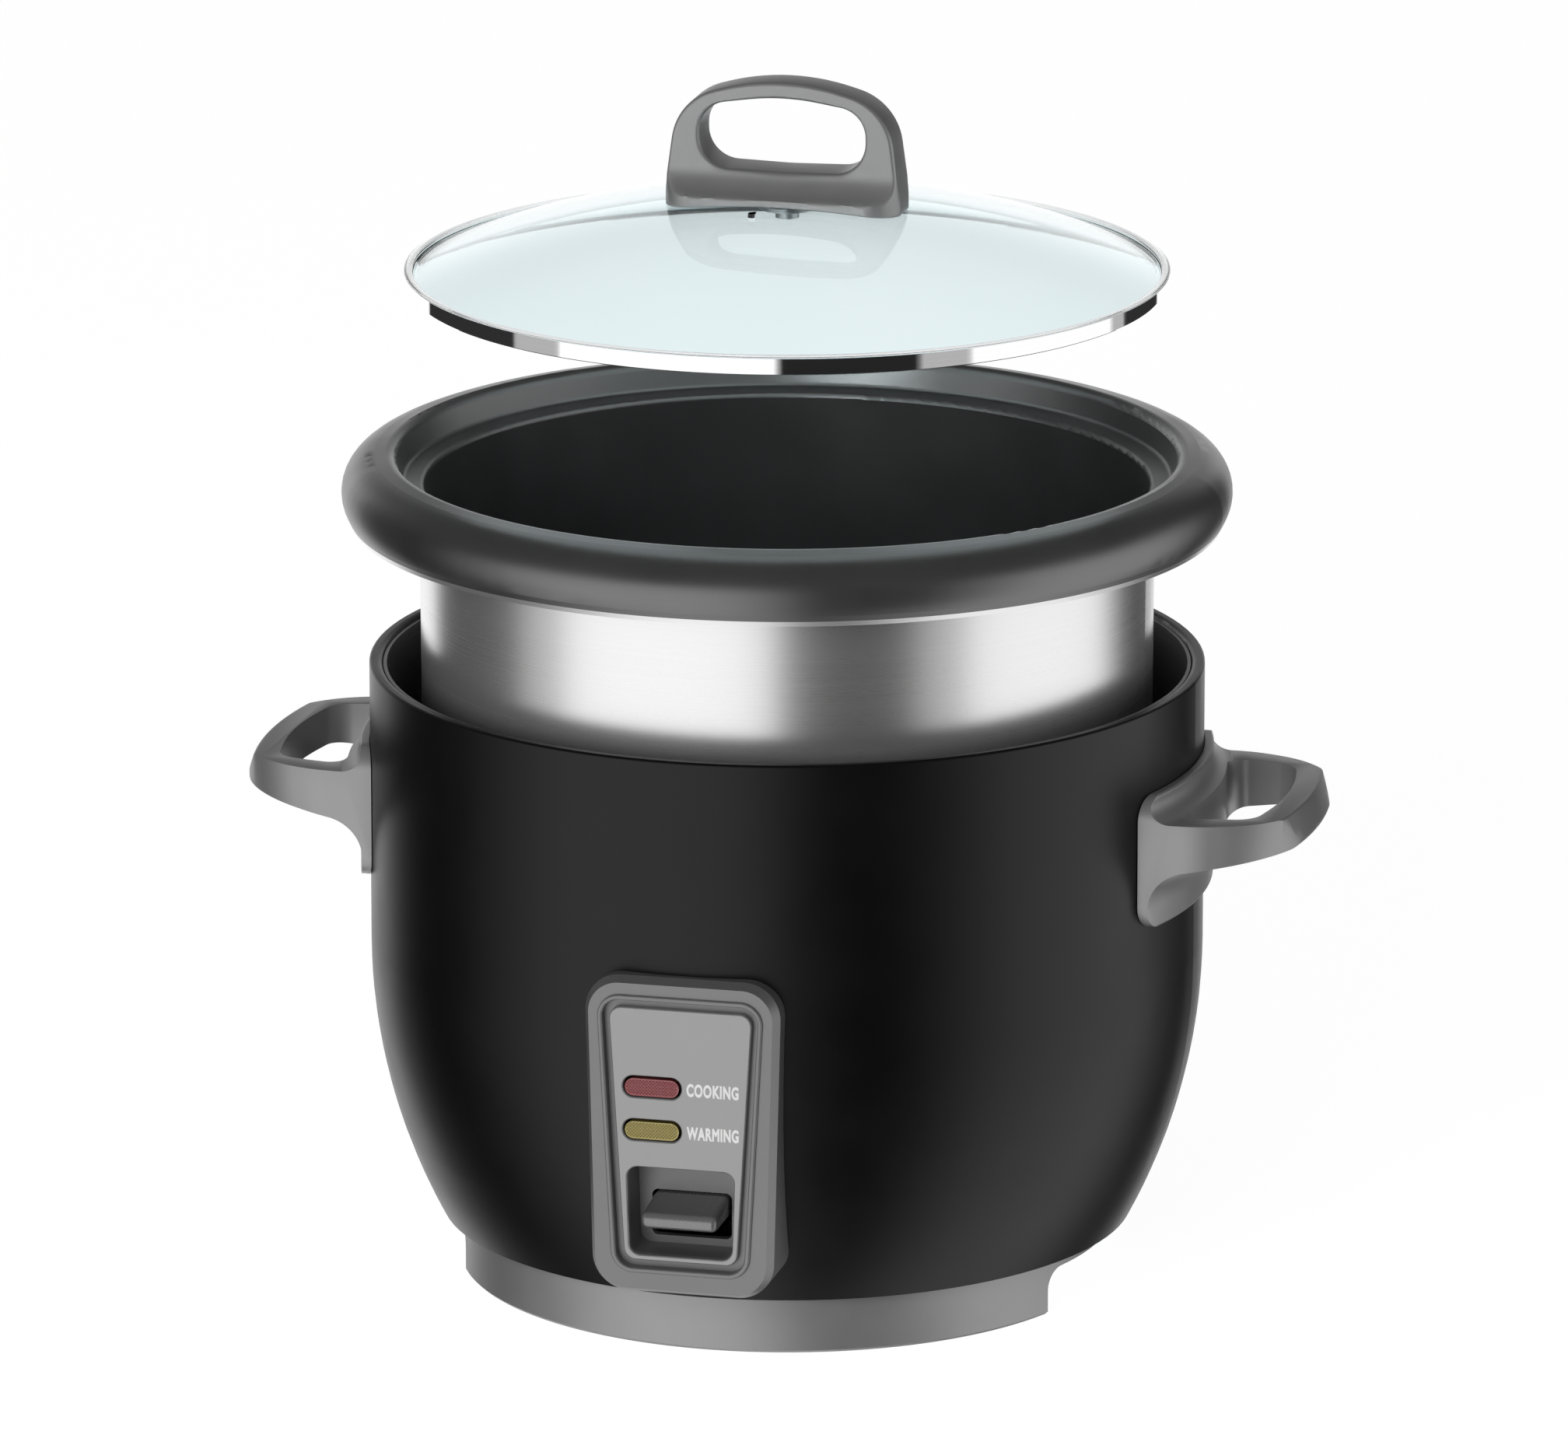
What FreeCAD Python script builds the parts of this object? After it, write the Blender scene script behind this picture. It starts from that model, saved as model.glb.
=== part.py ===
import FreeCAD, Part
import math
import os
import re
import Sketcher

V = FreeCAD.Vector
doc = FreeCAD.newDocument("RiceCooker")

# Driving sizes in millimetres and degrees
SIZES = {
    # Clearances
    "fit_gap": 0.2,
    "seat_gap": 0.3,
    "run_gap": 0.05,
    # Outer shell
    "body_radius": 120.0,
    "body_height": 180.0,
    "shell_wall": 1.2,
    "rim_width": 3.9,
    "rim_round": 1.8,
    "rim_edge": 0.8,
    "hem_depth": 6.0,
    "bend_start": 98.0,
    "foot_inset": 20.0,
    "foot_flange": 9.0,
    # Base ring and bottom plate
    "base_height": 17.5,
    "base_inset": 5.6,
    "base_wall": 2.4,
    "base_ledge": 6.0,
    "notch_width": 76.2,
    "notch_height": 13.0,
    "notch_round": 6.0,
    "plate_thick": 1.2,
    "vent_margin": 6.8,
    "vent_length": 7.5,
    "vent_width": 4.0,
    # Liner
    "liner_wall": 1.0,
    "liner_drop": 1.0,
    "liner_taper": 8.0,
    "liner_corner": 16.0,
    "floor_top": 59.0,
    # Fasteners
    "screw_radius": 1.6,
    "head_radius": 3.4,
    "head_height": 2.2,
    "screw_length": 12.0,
    # Posts and spacers
    "post_radius": 5.0,
    "post_ring": 70.0,
    "spacer_inset": 9.0,
    # Heater plate and its element
    "heater_top": 78.0,
    "heater_clear": 19.0,
    "heater_edge": 7.0,
    "heater_round": 3.0,
    "boss_inset": 26.0,
    "boss_half": 8.0,
    "boss_depth": 12.5,
    "element_radius": 3.6,
    "element_sweep": 330.0,
    "lead_radius": 2.0,
    "lead_drop": 18.0,
    # Thermostat
    "sensor_radius": 17.5,
    "sensor_wall": 1.0,
    "sensor_height": 20.0,
    "sensor_round": 2.0,
    "core_radius": 13.0,
    "core_thick": 6.0,
    "magnet_radius": 11.0,
    "magnet_thick": 8.0,
    "magnet_gap": 7.5,
    "rod_radius": 3.0,
    "housing_depth": 16.0,
    "housing_flange": 6.0,
    "spring_wire": 1.4,
    "spring_turns": 4.0,
    # Cook lever
    "lever_height": 33.0,
    "lever_pivot": 52.0,
    "lever_thick": 2.0,
    "lever_width": 8.0,
    "lever_tail": 8.0,
    "lever_step_outer": 80.0,
    "lever_step_inner": 68.0,
    "barrel_radius": 4.5,
    "barrel_half": 9.2,
    "pin_radius": 2.0,
    "bracket_wall": 1.4,
    "bracket_depth": 16.0,
    # Paddle
    "paddle_half": 11.0,
    "paddle_proud": 2.5,
    "paddle_length": 24.0,
    "paddle_low": 45.3,
    "paddle_nose": 4.6,
    "paddle_thick": 6.7,
    "paddle_slope": 15.0,
    "paddle_round": 1.8,
    "paddle_nose_round": 2.2,
    "socket_depth": 12.0,
    # Control panel
    "panel_proud": 5.5,
    "panel_low": 25.4,
    "panel_high": 118.0,
    "panel_low_half": 26.1,
    "panel_high_half": 28.5,
    "panel_round": 10.5,
    "panel_slope": 3.2,
    "panel_slope_depth": 1.6,
    "bead_low": 31.8,
    "bead_high": 113.1,
    "bead_low_half": 19.9,
    "bead_high_half": 24.3,
    "bead_round": 6.5,
    "bead_width": 1.5,
    "bead_height": 0.8,
    "well_depth": 2.4,
    "face_low": 35.4,
    "face_high": 109.4,
    "face_low_half": 16.4,
    "face_high_half": 20.9,
    "face_round": 3.6,
    "face_thick": 2.2,
    "recess_low": 37.0,
    "recess_high": 62.8,
    "recess_low_half": 14.8,
    "recess_high_half": 15.6,
    "recess_round": 3.2,
    "recess_depth": 13.5,
    "tub_wall": 2.0,
    "slot_drop": 6.2,
    "slot_rise": 0.6,
    "slot_side": 0.6,
    # Indicator lenses and lamps
    "lens_x": -8.2,
    "cook_lens_z": 86.3,
    "warm_lens_z": 73.7,
    "lens_half": 8.2,
    "lens_half_height": 2.9,
    "lens_proud": 0.3,
    "lens_depth": 7.0,
    "lamp_radius": 2.3,
    "lamp_length": 10.0,
    # Lever switch, terminal block and fuse
    "switch_inset": 8.0,
    "switch_length": 21.0,
    "switch_half": 3.6,
    "switch_height": 11.5,
    "plunger_radius": 1.2,
    "plunger_height": 4.3,
    "tab_length": 5.0,
    "block_x": 40.0,
    "block_y": 40.0,
    "block_length": 30.0,
    "block_depth": 13.0,
    "block_height": 13.0,
    "fuse_y": 41.0,
    "fuse_radius": 2.4,
    "fuse_length": 22.0,
    "fuse_lead": 12.0,
    "clip_wall": 0.8,
    "clip_half": 4.0,
    "clip_wing": 5.0,
    # Power inlet
    "inlet_inset": 0.5,
    "inlet_length": 41.5,
    "inlet_half": 17.0,
    "inlet_low": 29.0,
    "inlet_high": 57.0,
    "inlet_round": 4.0,
    "inlet_wall": 4.0,
    "inlet_depth": 19.5,
    "inlet_foot_half": 10.0,
    "inlet_foot_depth": 6.5,
    "blade_radius": 2.0,
    "blade_spread": 7.0,
    # Side handles
    "grip_plate": 2.6,
    "grip_drop": 24.0,
    "grip_height": 39.0,
    "grip_top_drop": 7.3,
    "grip_root_rise": 16.0,
    "grip_tip_rise": 22.5,
    "grip_stretch": 37.1,
    "grip_top_inset": 3.1,
    "grip_scoop": 6.0,
    "grip_cove": 12.0,
    "grip_half": 42.0,
    "grip_tip_share": 0.8672,
    "grip_tip_half": 34.5,
    "grip_corner_share": 0.81,
    "grip_plate_corner": 7.0,
    "hole_root_share": 0.0569,
    "hole_root_half": 33.8,
    "hole_root_round_share": 0.1355,
    "hole_inner_share": 0.2385,
    "hole_inner_bow": 126.0,
    "hole_tip_share": 0.6341,
    "hole_tip_half": 30.0,
    "hole_tip_round_share": 0.2168,
    "hole_outer_share": 0.7805,
    "hole_outer_bow": 110.0,
    "grip_edge": 0.8,
    "grip_screw_inset": 4.0,
    "grip_screw_rise": 24.0,
    # Inner pot, raised as it is shown
    "pot_raise": 49.0,
    "pot_wall": 1.5,
    "pot_clear": 3.6,
    "pot_draft": 0.4,
    "pot_corner": 18.0,
    "pot_depth": 103.2,
    "ledge_width": 6.6,
    "ledge_rise": 1.0,
    "crest_step": 2.4,
    "crest_rise": 9.4,
    "crest_round": 3.0,
    "shoulder_width": 8.4,
    "shoulder_rise": 6.2,
    "shoulder_round": 11.0,
    "lip_gap": 4.8,
    "lip_drop": 10.5,
    # Lid, raised above the pot as it is shown
    "lid_raise": 56.0,
    "band_height": 6.1,
    "band_clear": 0.4,
    "band_width": 4.8,
    "band_skirt_inset": 2.1,
    "band_wall": 1.2,
    "glass_inset": 3.6,
    "glass_edge": 4.9,
    "glass_rise": 20.6,
    "glass_thick": 4.0,
    "glass_hole": 3.2,
    "steam_radius": 1.6,
    "steam_x": -6.0,
    "steam_y": -17.0,
    # Lid handle and its fixing
    "knob_height": 37.8,
    "knob_half": 34.6,
    "knob_top_half": 31.0,
    "knob_corner": 17.0,
    "knob_crown": 9.0,
    "knob_crown_round": 65.0,
    "knob_depth": 11.5,
    "knob_waist": 15.0,
    "knob_foot_depth": 26.0,
    "knob_foot": 1.8,
    "knob_flare": 12.0,
    "knob_edge": 0.8,
    "knob_foot_round": 6.0,
    "gap_half": 24.4,
    "gap_low": 9.7,
    "gap_high": 28.9,
    "gap_round": 9.0,
    "washer_radius": 8.0,
    "washer_thick": 1.0,
    "lid_screw_radius": 2.0,
    "lid_screw_length": 11.0,
}

# Relations between the sizes
RELATED = {
    "rim_inner": "body_radius - rim_width",
    "bend_drop": "bend_start - base_height",
    "foot_radius": "body_radius - foot_inset",
    "bend_radius": "(bend_drop^2 + foot_inset^2) / 2 / foot_inset",
    "cover_radius": "bend_radius + fit_gap",
    "cover_foot": "body_radius - bend_radius + sqrt(cover_radius^2 - bend_drop^2)",
    "plate_low": "notch_height + fit_gap",
    "plate_top": "plate_low + plate_thick",
    "base_radius": "foot_radius - base_inset",
    "plate_radius": "base_radius - base_wall - fit_gap",
    "switch_front": "base_radius - base_wall - switch_inset",
    "switch_back": "switch_front - switch_length",
    "vent_outer": "plate_radius - vent_margin",
    "vent_inner": "vent_outer - vent_length",
    "liner_top_radius": "rim_inner - run_gap * 2 - liner_wall",
    "liner_floor_radius": "liner_top_radius - liner_taper",
    "heater_radius": "liner_floor_radius - heater_clear",
    "boss_ring": "heater_radius - boss_inset",
    "spacer_ring": "heater_radius - spacer_inset",
    "floor_low": "floor_top - liner_wall",
    "bore_radius": "screw_radius + run_gap",
    "heater_low": "heater_top - heater_edge",
    "boss_low": "heater_top - boss_depth",
    "heater_hole": "sensor_radius + seat_gap * 6",
    "lead_x": "boss_ring * sin((360 - element_sweep) / 2)",
    "lead_y": "boss_ring * cos((360 - element_sweep) / 2)",
    "cap_low": "heater_top - sensor_height",
    "core_low": "heater_top - sensor_wall - core_thick",
    "magnet_top": "core_low - magnet_gap",
    "magnet_low": "magnet_top - magnet_thick",
    "housing_radius": "sensor_radius + spring_wire + seat_gap * 3",
    "housing_floor": "floor_low - housing_depth",
    "lever_up": "lever_height + lever_thick / 2",
    "arm_height": "paddle_low + paddle_thick / 2 + 0.2",
    "bracket_half": "barrel_half + seat_gap + bracket_wall",
    "window_half": "recess_high_half + tub_wall + fit_gap * 2",
    "tub_low": "recess_low - tub_wall",
    "tub_high": "recess_high + tub_wall",
    "panel_front": "body_radius + panel_proud",
    "recess_back": "panel_front - recess_depth",
    "tub_back": "recess_back - tub_wall",
    "paddle_front": "panel_front + paddle_proud",
    "paddle_back": "paddle_front - paddle_length",
    "paddle_shoulder": "paddle_front - paddle_slope",
    "window_high": "cook_lens_z + lens_half_height + seat_gap * 8",
    "well_back": "panel_front - well_depth",
    "face_front": "well_back + face_thick",
    "lens_back": "face_front - lens_depth",
    "lamp_y": "lens_back - lamp_radius - seat_gap",
    "inlet_face": "body_radius - inlet_inset",
    "inlet_back": "inlet_face - inlet_length",
    "grip_high": "body_height - grip_drop",
    "grip_low": "grip_high - grip_height",
    "grip_top": "grip_high - grip_top_drop",
    "grip_root": "grip_low + grip_root_rise",
    "grip_tip": "grip_low + grip_tip_rise",
    "grip_screw_z": "grip_low + grip_screw_rise",
    "grip_back": "body_radius + fit_gap",
    "grip_reach": "body_radius + grip_stretch",
    "grip_top_reach": "grip_reach - grip_top_inset",
    "grip_span": "grip_reach - grip_back",
    "grip_tip_x": "grip_back + grip_span * grip_tip_share",
    "grip_corner": "grip_span * grip_corner_share",
    "hole_root_x": "grip_back + grip_span * hole_root_share",
    "hole_root_round": "grip_span * hole_root_round_share",
    "hole_inner": "grip_back + grip_span * hole_inner_share",
    "hole_tip_x": "grip_back + grip_span * hole_tip_share",
    "hole_tip_round": "grip_span * hole_tip_round_share",
    "hole_outer": "grip_back + grip_span * hole_outer_share",
    "grip_face": "body_radius + fit_gap + grip_plate",
    "grip_screw_half": "grip_half - grip_screw_inset",
    "grip_screw_x": "sqrt((body_radius - shell_wall)^2 - (grip_screw_half + head_radius)^2) - seat_gap",
    "pot_radius": "liner_floor_radius - pot_clear",
    "ledge_radius": "pot_radius + ledge_width",
    "crest_radius": "ledge_radius + crest_step",
    "lip_radius": "body_radius + lip_gap",
    "shoulder_radius": "lip_radius + shoulder_width",
    "pot_floor": "heater_top + seat_gap + pot_wall + pot_raise",
    "pot_ledge": "pot_floor + pot_depth",
    "lid_low": "pot_ledge + ledge_rise + lid_raise",
    "band_flange": "ledge_radius - band_clear",
    "band_inner": "band_flange - band_width",
    "band_skirt": "band_flange - band_skirt_inset",
    "glass_radius": "band_flange - glass_inset",
    "glass_z": "lid_low + glass_edge",
    "dome_top": "glass_z + glass_rise",
    "dome_radius": "(glass_radius^2 + glass_rise^2) / 2 / glass_rise",
    "dome_base": "dome_top - dome_radius",
    "dome_inner": "dome_radius - glass_thick",
    "knob_top": "dome_top + knob_height",
    "washer_top": "dome_base + sqrt(dome_inner^2 - washer_radius^2) - run_gap",
    "washer_low": "washer_top - washer_thick",
}

sheet = doc.addObject("Spreadsheet::Sheet", "Sizes")
for row, (name, size) in enumerate(SIZES.items(), start=1):
    sheet.set(f"A{row}", name)
    sheet.set(f"B{row}", str(size))
    sheet.setAlias(f"B{row}", name)
doc.recompute()

FRONT = FreeCAD.Rotation(V(1, 0, 0), 90)
SIDE = FreeCAD.Rotation(V(1, 1, 1), 120)
WAYS = {
    "up": FreeCAD.Rotation(),
    "down": FreeCAD.Rotation(V(1, 0, 0), 180),
    "right": FreeCAD.Rotation(V(0, 1, 0), 90),
    "left": FreeCAD.Rotation(V(0, 1, 0), -90),
    "rear": FreeCAD.Rotation(V(1, 0, 0), -90),
}
nodes = []


def bind(text):
    """Expression in which each size name points at its cell."""
    def swap(match):
        word = match.group(0)
        if word in RELATED:
            return f"({bind(RELATED[word])})"
        return f"Sizes.{word}" if word in SIZES else word
    return re.sub(r"[a-z][a-z_]*", swap, str(text))


def value(text):
    """Present number of an expression."""
    return float(sheet.evalExpression(bind(text)))


def drive(item, **settings):
    """Bind properties of an object to expressions."""
    for setting, text in settings.items():
        item.setExpression(setting.replace("__", "."), bind(text))


def hold(sketch, kind, *parts):
    """Dimension in a sketch, bound to the expression given last."""
    *places, text = parts
    index = sketch.addConstraint(Sketcher.Constraint(kind, *places, value(text)))
    sketch.setExpression(f"Constraints[{index}]", bind(text))


def arc_curve(start, end, radius):
    """Arc from start to end; its centre is on the left of the way for a positive radius."""
    chord = end - start
    rise = math.sqrt(max(radius ** 2 - chord.Length ** 2 / 4, 0.0))
    left = V(-chord.y, chord.x, 0).normalize()
    centre = (start + end) * 0.5 + left * math.copysign(rise, radius)
    low, high = (start, end) if radius > 0 else (end, start)
    first = math.atan2(low.y - centre.y, low.x - centre.x)
    last = math.atan2(high.y - centre.y, high.x - centre.x)
    if last < first:
        last += 2 * math.pi
    return Part.ArcOfCircle(Part.Circle(centre, V(0, 0, 1), abs(radius)), first, last)


def draw(sketch, corners, closed=True):
    """Chain of runs. A corner is (x, y), (x, y, rounding) or (x, y, None, bow of the next run)."""
    spots = [V(value(corner[0]), value(corner[1]), 0) for corner in corners]
    count = len(spots)
    runs = count if closed else count - 1
    starts = list(spots)
    ends = [spots[(i + 1) % count] for i in range(runs)]
    turns = {}
    for i, corner in enumerate(corners):
        if len(corner) == 3:
            into = (spots[i] - spots[i - 1]).normalize()
            away = (spots[(i + 1) % count] - spots[i]).normalize()
            turn = math.atan2(into.cross(away).z, into.dot(away))
            reach = value(corner[2]) * math.tan(abs(turn) / 2)
            ends[i - 1] = spots[i] - into * reach
            starts[i] = spots[i] + away * reach
            turns[i] = math.copysign(value(corner[2]), turn)
    heads = []
    tails = []
    for i in range(runs):
        bow = corners[i][3] if len(corners[i]) == 4 else None
        if bow is None:
            run = sketch.addGeometry(Part.LineSegment(starts[i], ends[i]))
            heads.append((run, 1))
            tails.append((run, 2))
        else:
            run = sketch.addGeometry(arc_curve(starts[i], ends[i], value(bow)))
            hold(sketch, "Radius", run, bow.lstrip("-"))
            heads.append((run, 2 if bow.startswith("-") else 1))
            tails.append((run, 1 if bow.startswith("-") else 2))
    for i, corner in enumerate(corners):
        if i in turns:
            before, after = tails[i - 1], heads[i]
            bend = sketch.addGeometry(arc_curve(ends[i - 1], starts[i], turns[i]))
            first, last = (1, 2) if turns[i] > 0 else (2, 1)
            sketch.addConstraint(Sketcher.Constraint("Tangent", *before, bend, first))
            sketch.addConstraint(Sketcher.Constraint("Tangent", bend, last, *after))
            hold(sketch, "Radius", bend, corner[2])
            spot = (sketch.addGeometry(Part.Point(spots[i]), True), 1)
            sketch.addConstraint(Sketcher.Constraint("PointOnObject", *spot, before[0]))
            sketch.addConstraint(Sketcher.Constraint("PointOnObject", *spot, after[0]))
        elif i < runs:
            spot = heads[i]
            if closed or i > 0:
                sketch.addConstraint(Sketcher.Constraint("Coincident", *tails[i - 1], *spot))
        else:
            spot = tails[i - 1]
        hold(sketch, "DistanceX", -1, 1, *spot, corner[0])
        hold(sketch, "DistanceY", -1, 1, *spot, corner[1])


def ring(sketch, x, y, radius):
    """Circle in a sketch."""
    circle = sketch.addGeometry(Part.Circle(V(value(x), value(y), 0), V(0, 0, 1), value(radius)))
    hold(sketch, "DistanceX", -1, 1, circle, 3, x)
    hold(sketch, "DistanceY", -1, 1, circle, 3, y)
    hold(sketch, "Radius", circle, radius)


def node(label, item):
    """Mark an object as a finished piece."""
    item.Label = label
    nodes.append(item)
    return item


def new_body(label):
    """Body that becomes the piece of that name."""
    return node(label, doc.addObject("PartDesign::Body", f"{label}_body"))


def sketch_on(body, plane, *chains, lift=None, rings=()):
    """Sketch on an origin plane of the body, moved along its normal."""
    sketch = body.newObject("Sketcher::SketchObject", f"{body.Name}_sketch")
    origin = [item for item in body.Origin.OriginFeatures if item.Role == f"{plane}_Plane"][0]
    sketch.AttachmentSupport = [(origin, "")]
    sketch.MapMode = "FlatFace"
    if lift is not None:
        drive(sketch, AttachmentOffset__Base__z=lift)
    for chain in chains:
        draw(sketch, chain)
    for circle in rings:
        ring(sketch, *circle)
    return sketch


def settle(body, base, item, grows):
    """Recompute a new feature and make sure that it adds or removes material."""
    before = base.Shape.Volume if base else 0.0
    body.Tip = item
    doc.recompute()
    if (item.Shape.Volume > before) != grows or abs(item.Shape.Volume - before) < 1e-6:
        raise ValueError(f"{item.Name} does not change {body.Label} as meant")
    return item


def sweep(body, kind, sketch, length=None, both=False, back=False):
    """Pad or pocket of a sketch; no length means through all."""
    base = body.Tip
    item = body.newObject(f"PartDesign::{kind}", f"{body.Name}_{kind}")
    item.Profile = sketch
    item.SideType = "Symmetric" if both else "One side"
    item.Reversed = back
    if length is None:
        item.Type = "ThroughAll"
    else:
        drive(item, Length=length)
    return settle(body, base, item, kind == "Pad")


def spin(body, kind, sketch, angle="360"):
    """Revolution or groove of a sketch about the upright axis, even about the sketch."""
    base = body.Tip
    item = body.newObject(f"PartDesign::{kind}", f"{body.Name}_{kind}")
    item.Profile = sketch
    item.ReferenceAxis = (sketch, ["V_Axis"])
    item.Midplane = True
    drive(item, Angle=angle)
    return settle(body, base, item, kind == "Revolution")


def dress(body, kind, picked, **settings):
    """Fillet or chamfer on the edges for which picked is true."""
    base = body.Tip
    names = [f"Edge{i}" for i, edge in enumerate(base.Shape.Edges, start=1) if picked(edge)]
    item = body.newObject(f"PartDesign::{kind}", f"{body.Name}_{kind}")
    item.Base = (base, names)
    if kind == "Chamfer":
        item.ChamferType = "Two distances"
    drive(item, **settings)
    body.Tip = item
    doc.recompute()
    return item


def lies(edge, axis, place):
    """True where all of an edge has one coordinate."""
    return all(abs(getattr(spot, axis) - place) < 0.01 for spot in edge.discretize(7))


def upright(edge):
    """True for a straight edge that runs up and down."""
    ends = [vertex.Point for vertex in edge.Vertexes]
    return edge.Curve.TypeId == "Part::GeomLine" and abs(ends[0].z - ends[-1].z) > 0.99 * edge.Length


def band(label, corners, wall, rotation):
    """Open outline given a thickness on the right of its way."""
    sketch = doc.addObject("Sketcher::SketchObject", f"{label}_line")
    sketch.Placement.Rotation = rotation
    draw(sketch, corners, closed=False)
    strip = doc.addObject("Part::Offset2D", f"{label}_strip")
    strip.Source = sketch
    strip.Mode = "Skin"
    strip.Fill = True
    drive(strip, Value=f"-({wall})")
    return strip


def turned(label, corners, wall):
    """Sheet form turned about the upright axis."""
    form = doc.addObject("Part::Revolution", f"{label}_form")
    form.Source = band(label, corners, wall, FRONT)
    form.Axis = V(0, 0, 1)
    form.Angle = 360
    form.Solid = True
    return form


def bent(label, corners, wall, width):
    """Strip bent along an outline in the side view."""
    form = doc.addObject("Part::Extrusion", f"{label}_form")
    form.Base = band(label, corners, f"-{wall}", SIDE)
    form.DirMode = "Custom"
    form.Dir = V(1, 0, 0)
    form.Solid = True
    form.Symmetric = True
    drive(form, LengthFwd=width)
    return form


def block(label, x, y, z, length, width, height):
    """Box from its low corner and its sizes."""
    item = doc.addObject("Part::Box", label)
    drive(item, Length=length, Width=width, Height=height)
    drive(item, Placement__Base__x=x, Placement__Base__y=y, Placement__Base__z=z)
    return item


def rod(label, radius, length, x, y, z, way="up"):
    """Cylinder from the centre of its first end."""
    item = doc.addObject("Part::Cylinder", label)
    item.Placement.Rotation = WAYS[way]
    drive(item, Radius=radius, Height=length)
    drive(item, Placement__Base__x=x, Placement__Base__y=y, Placement__Base__z=z)
    return item


def fuse(label, *items):
    """Union of objects."""
    item = doc.addObject("Part::MultiFuse", label)
    item.Shapes = list(items)
    return item


def cut(label, base, *tools):
    """First object without the others."""
    item = doc.addObject("Part::Cut", label)
    item.Base = base
    item.Tool = tools[0] if len(tools) == 1 else fuse(f"{label}_tools", *tools)
    return item


def group(label, items):
    """Like pieces kept as one node."""
    item = doc.addObject("Part::Compound", f"{label}_group")
    item.Links = items
    return node(label, item)


def screw(label, x, y, z, length, way="up", radius="screw_radius"):
    """Screw whose head rests at the given place and points the other way."""
    shank = rod(f"{label}_shank", radius, length, x, y, z, way)
    back = {"up": "down", "down": "up", "right": "left", "left": "right"}[way]
    head = rod(f"{label}_head", "head_radius", "head_height", x, y, z, back)
    return fuse(label, shank, head)


def around(radius, angles):
    """Places on a circle about the upright axis."""
    return [(f"{radius} * cos({angle})", f"{radius} * sin({angle})") for angle in angles]


def shield(low, high, low_half, high_half, rounding):
    """Rounded four-sided outline, even about the middle."""
    return [
        (f"-({low_half})", low, rounding),
        (low_half, low, rounding),
        (high_half, high, rounding),
        (f"-({high_half})", high, rounding),
    ]


def pill(height, spare="0"):
    """Outline of an indicator lens, made larger by the spare."""
    rounding = f"(lens_half_height + {spare}) * 0.96"
    left = f"lens_x - lens_half - {spare}"
    right = f"lens_x + lens_half + {spare}"
    low = f"{height} - lens_half_height - {spare}"
    high = f"{height} + lens_half_height + {spare}"
    return [(left, low, rounding), (right, low, rounding), (right, high, rounding), (left, high, rounding)]


POSTS = around("post_ring", (0, 120, 240))
SPACERS = around("spacer_ring", (60, 180, 300))
LEADS = [("lead_x", "lead_y"), ("-lead_x", "lead_y")]

# Outer shell with its rolled rim
shell_line = [
    ("rim_inner", "body_height - hem_depth"),
    ("rim_inner", "body_height", "rim_round"),
    ("body_radius", "body_height", "rim_edge"),
    ("body_radius", "bend_start", None, "-bend_radius"),
    ("foot_radius", "base_height"),
    ("foot_radius - foot_flange", "base_height"),
]
front_window = block("front_window", "-window_half", "-panel_front", "tub_low - fit_gap * 2",
                     "window_half * 2", "panel_front - foot_radius + foot_flange",
                     "window_high - tub_low + fit_gap * 2")
rear_window = block("rear_window", "-inlet_half - seat_gap", "foot_radius - foot_flange",
                    "inlet_low - seat_gap", "inlet_half * 2 + seat_gap * 2",
                    "foot_inset + foot_flange", "inlet_high - inlet_low + seat_gap * 2")
grip_holes = [
    rod(f"grip_hole_{side}", "bore_radius + seat_gap", "body_radius * 2", "-body_radius", place,
        "grip_screw_z", "right")
    for side, place in (("front", "-grip_screw_half"), ("rear", "grip_screw_half"))
]
node("outer_shell", cut("shell", turned("shell", shell_line, "shell_wall"),
                        front_window, rear_window, *grip_holes))

# Liner that carries the heater
liner_line = [
    ("housing_radius", "floor_top"),
    ("liner_floor_radius", "floor_top", "liner_corner"),
    ("liner_top_radius", "body_height - liner_drop"),
]
liner_holes = [
    rod(f"liner_hole_{i}", "bore_radius + seat_gap", "liner_wall * 3", x, y, "floor_low - liner_wall")
    for i, (x, y) in enumerate(POSTS + SPACERS)
]
lead_holes = [
    rod(f"lead_hole_{i}", "lead_radius * 2", "liner_wall * 3", x, y, "floor_low - liner_wall")
    for i, (x, y) in enumerate(LEADS)
]
node("inner_liner", cut("liner", turned("liner", liner_line, "liner_wall"), *liner_holes, *lead_holes))

# Base ring with a notch under each handle
ring_body = new_body("base_ring")
spin(ring_body, "Revolution", sketch_on(ring_body, "XZ", [
    ("base_radius - base_wall / 3", "0"),
    ("base_radius", "base_wall / 3"),
    ("base_radius", "base_height", "base_wall / 3"),
    ("base_radius - base_wall - base_ledge", "base_height"),
    ("base_radius - base_wall - base_ledge", "plate_top"),
    ("base_radius - base_wall", "plate_top"),
    ("base_radius - base_wall", "0"),
]))
sweep(ring_body, "Pocket", sketch_on(ring_body, "YZ", [
    ("-notch_width / 2", "-base_wall"),
    ("notch_width / 2", "-base_wall"),
    ("notch_width / 2", "notch_height", "notch_round"),
    ("-notch_width / 2", "notch_height", "notch_round"),
]), both=True)

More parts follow.
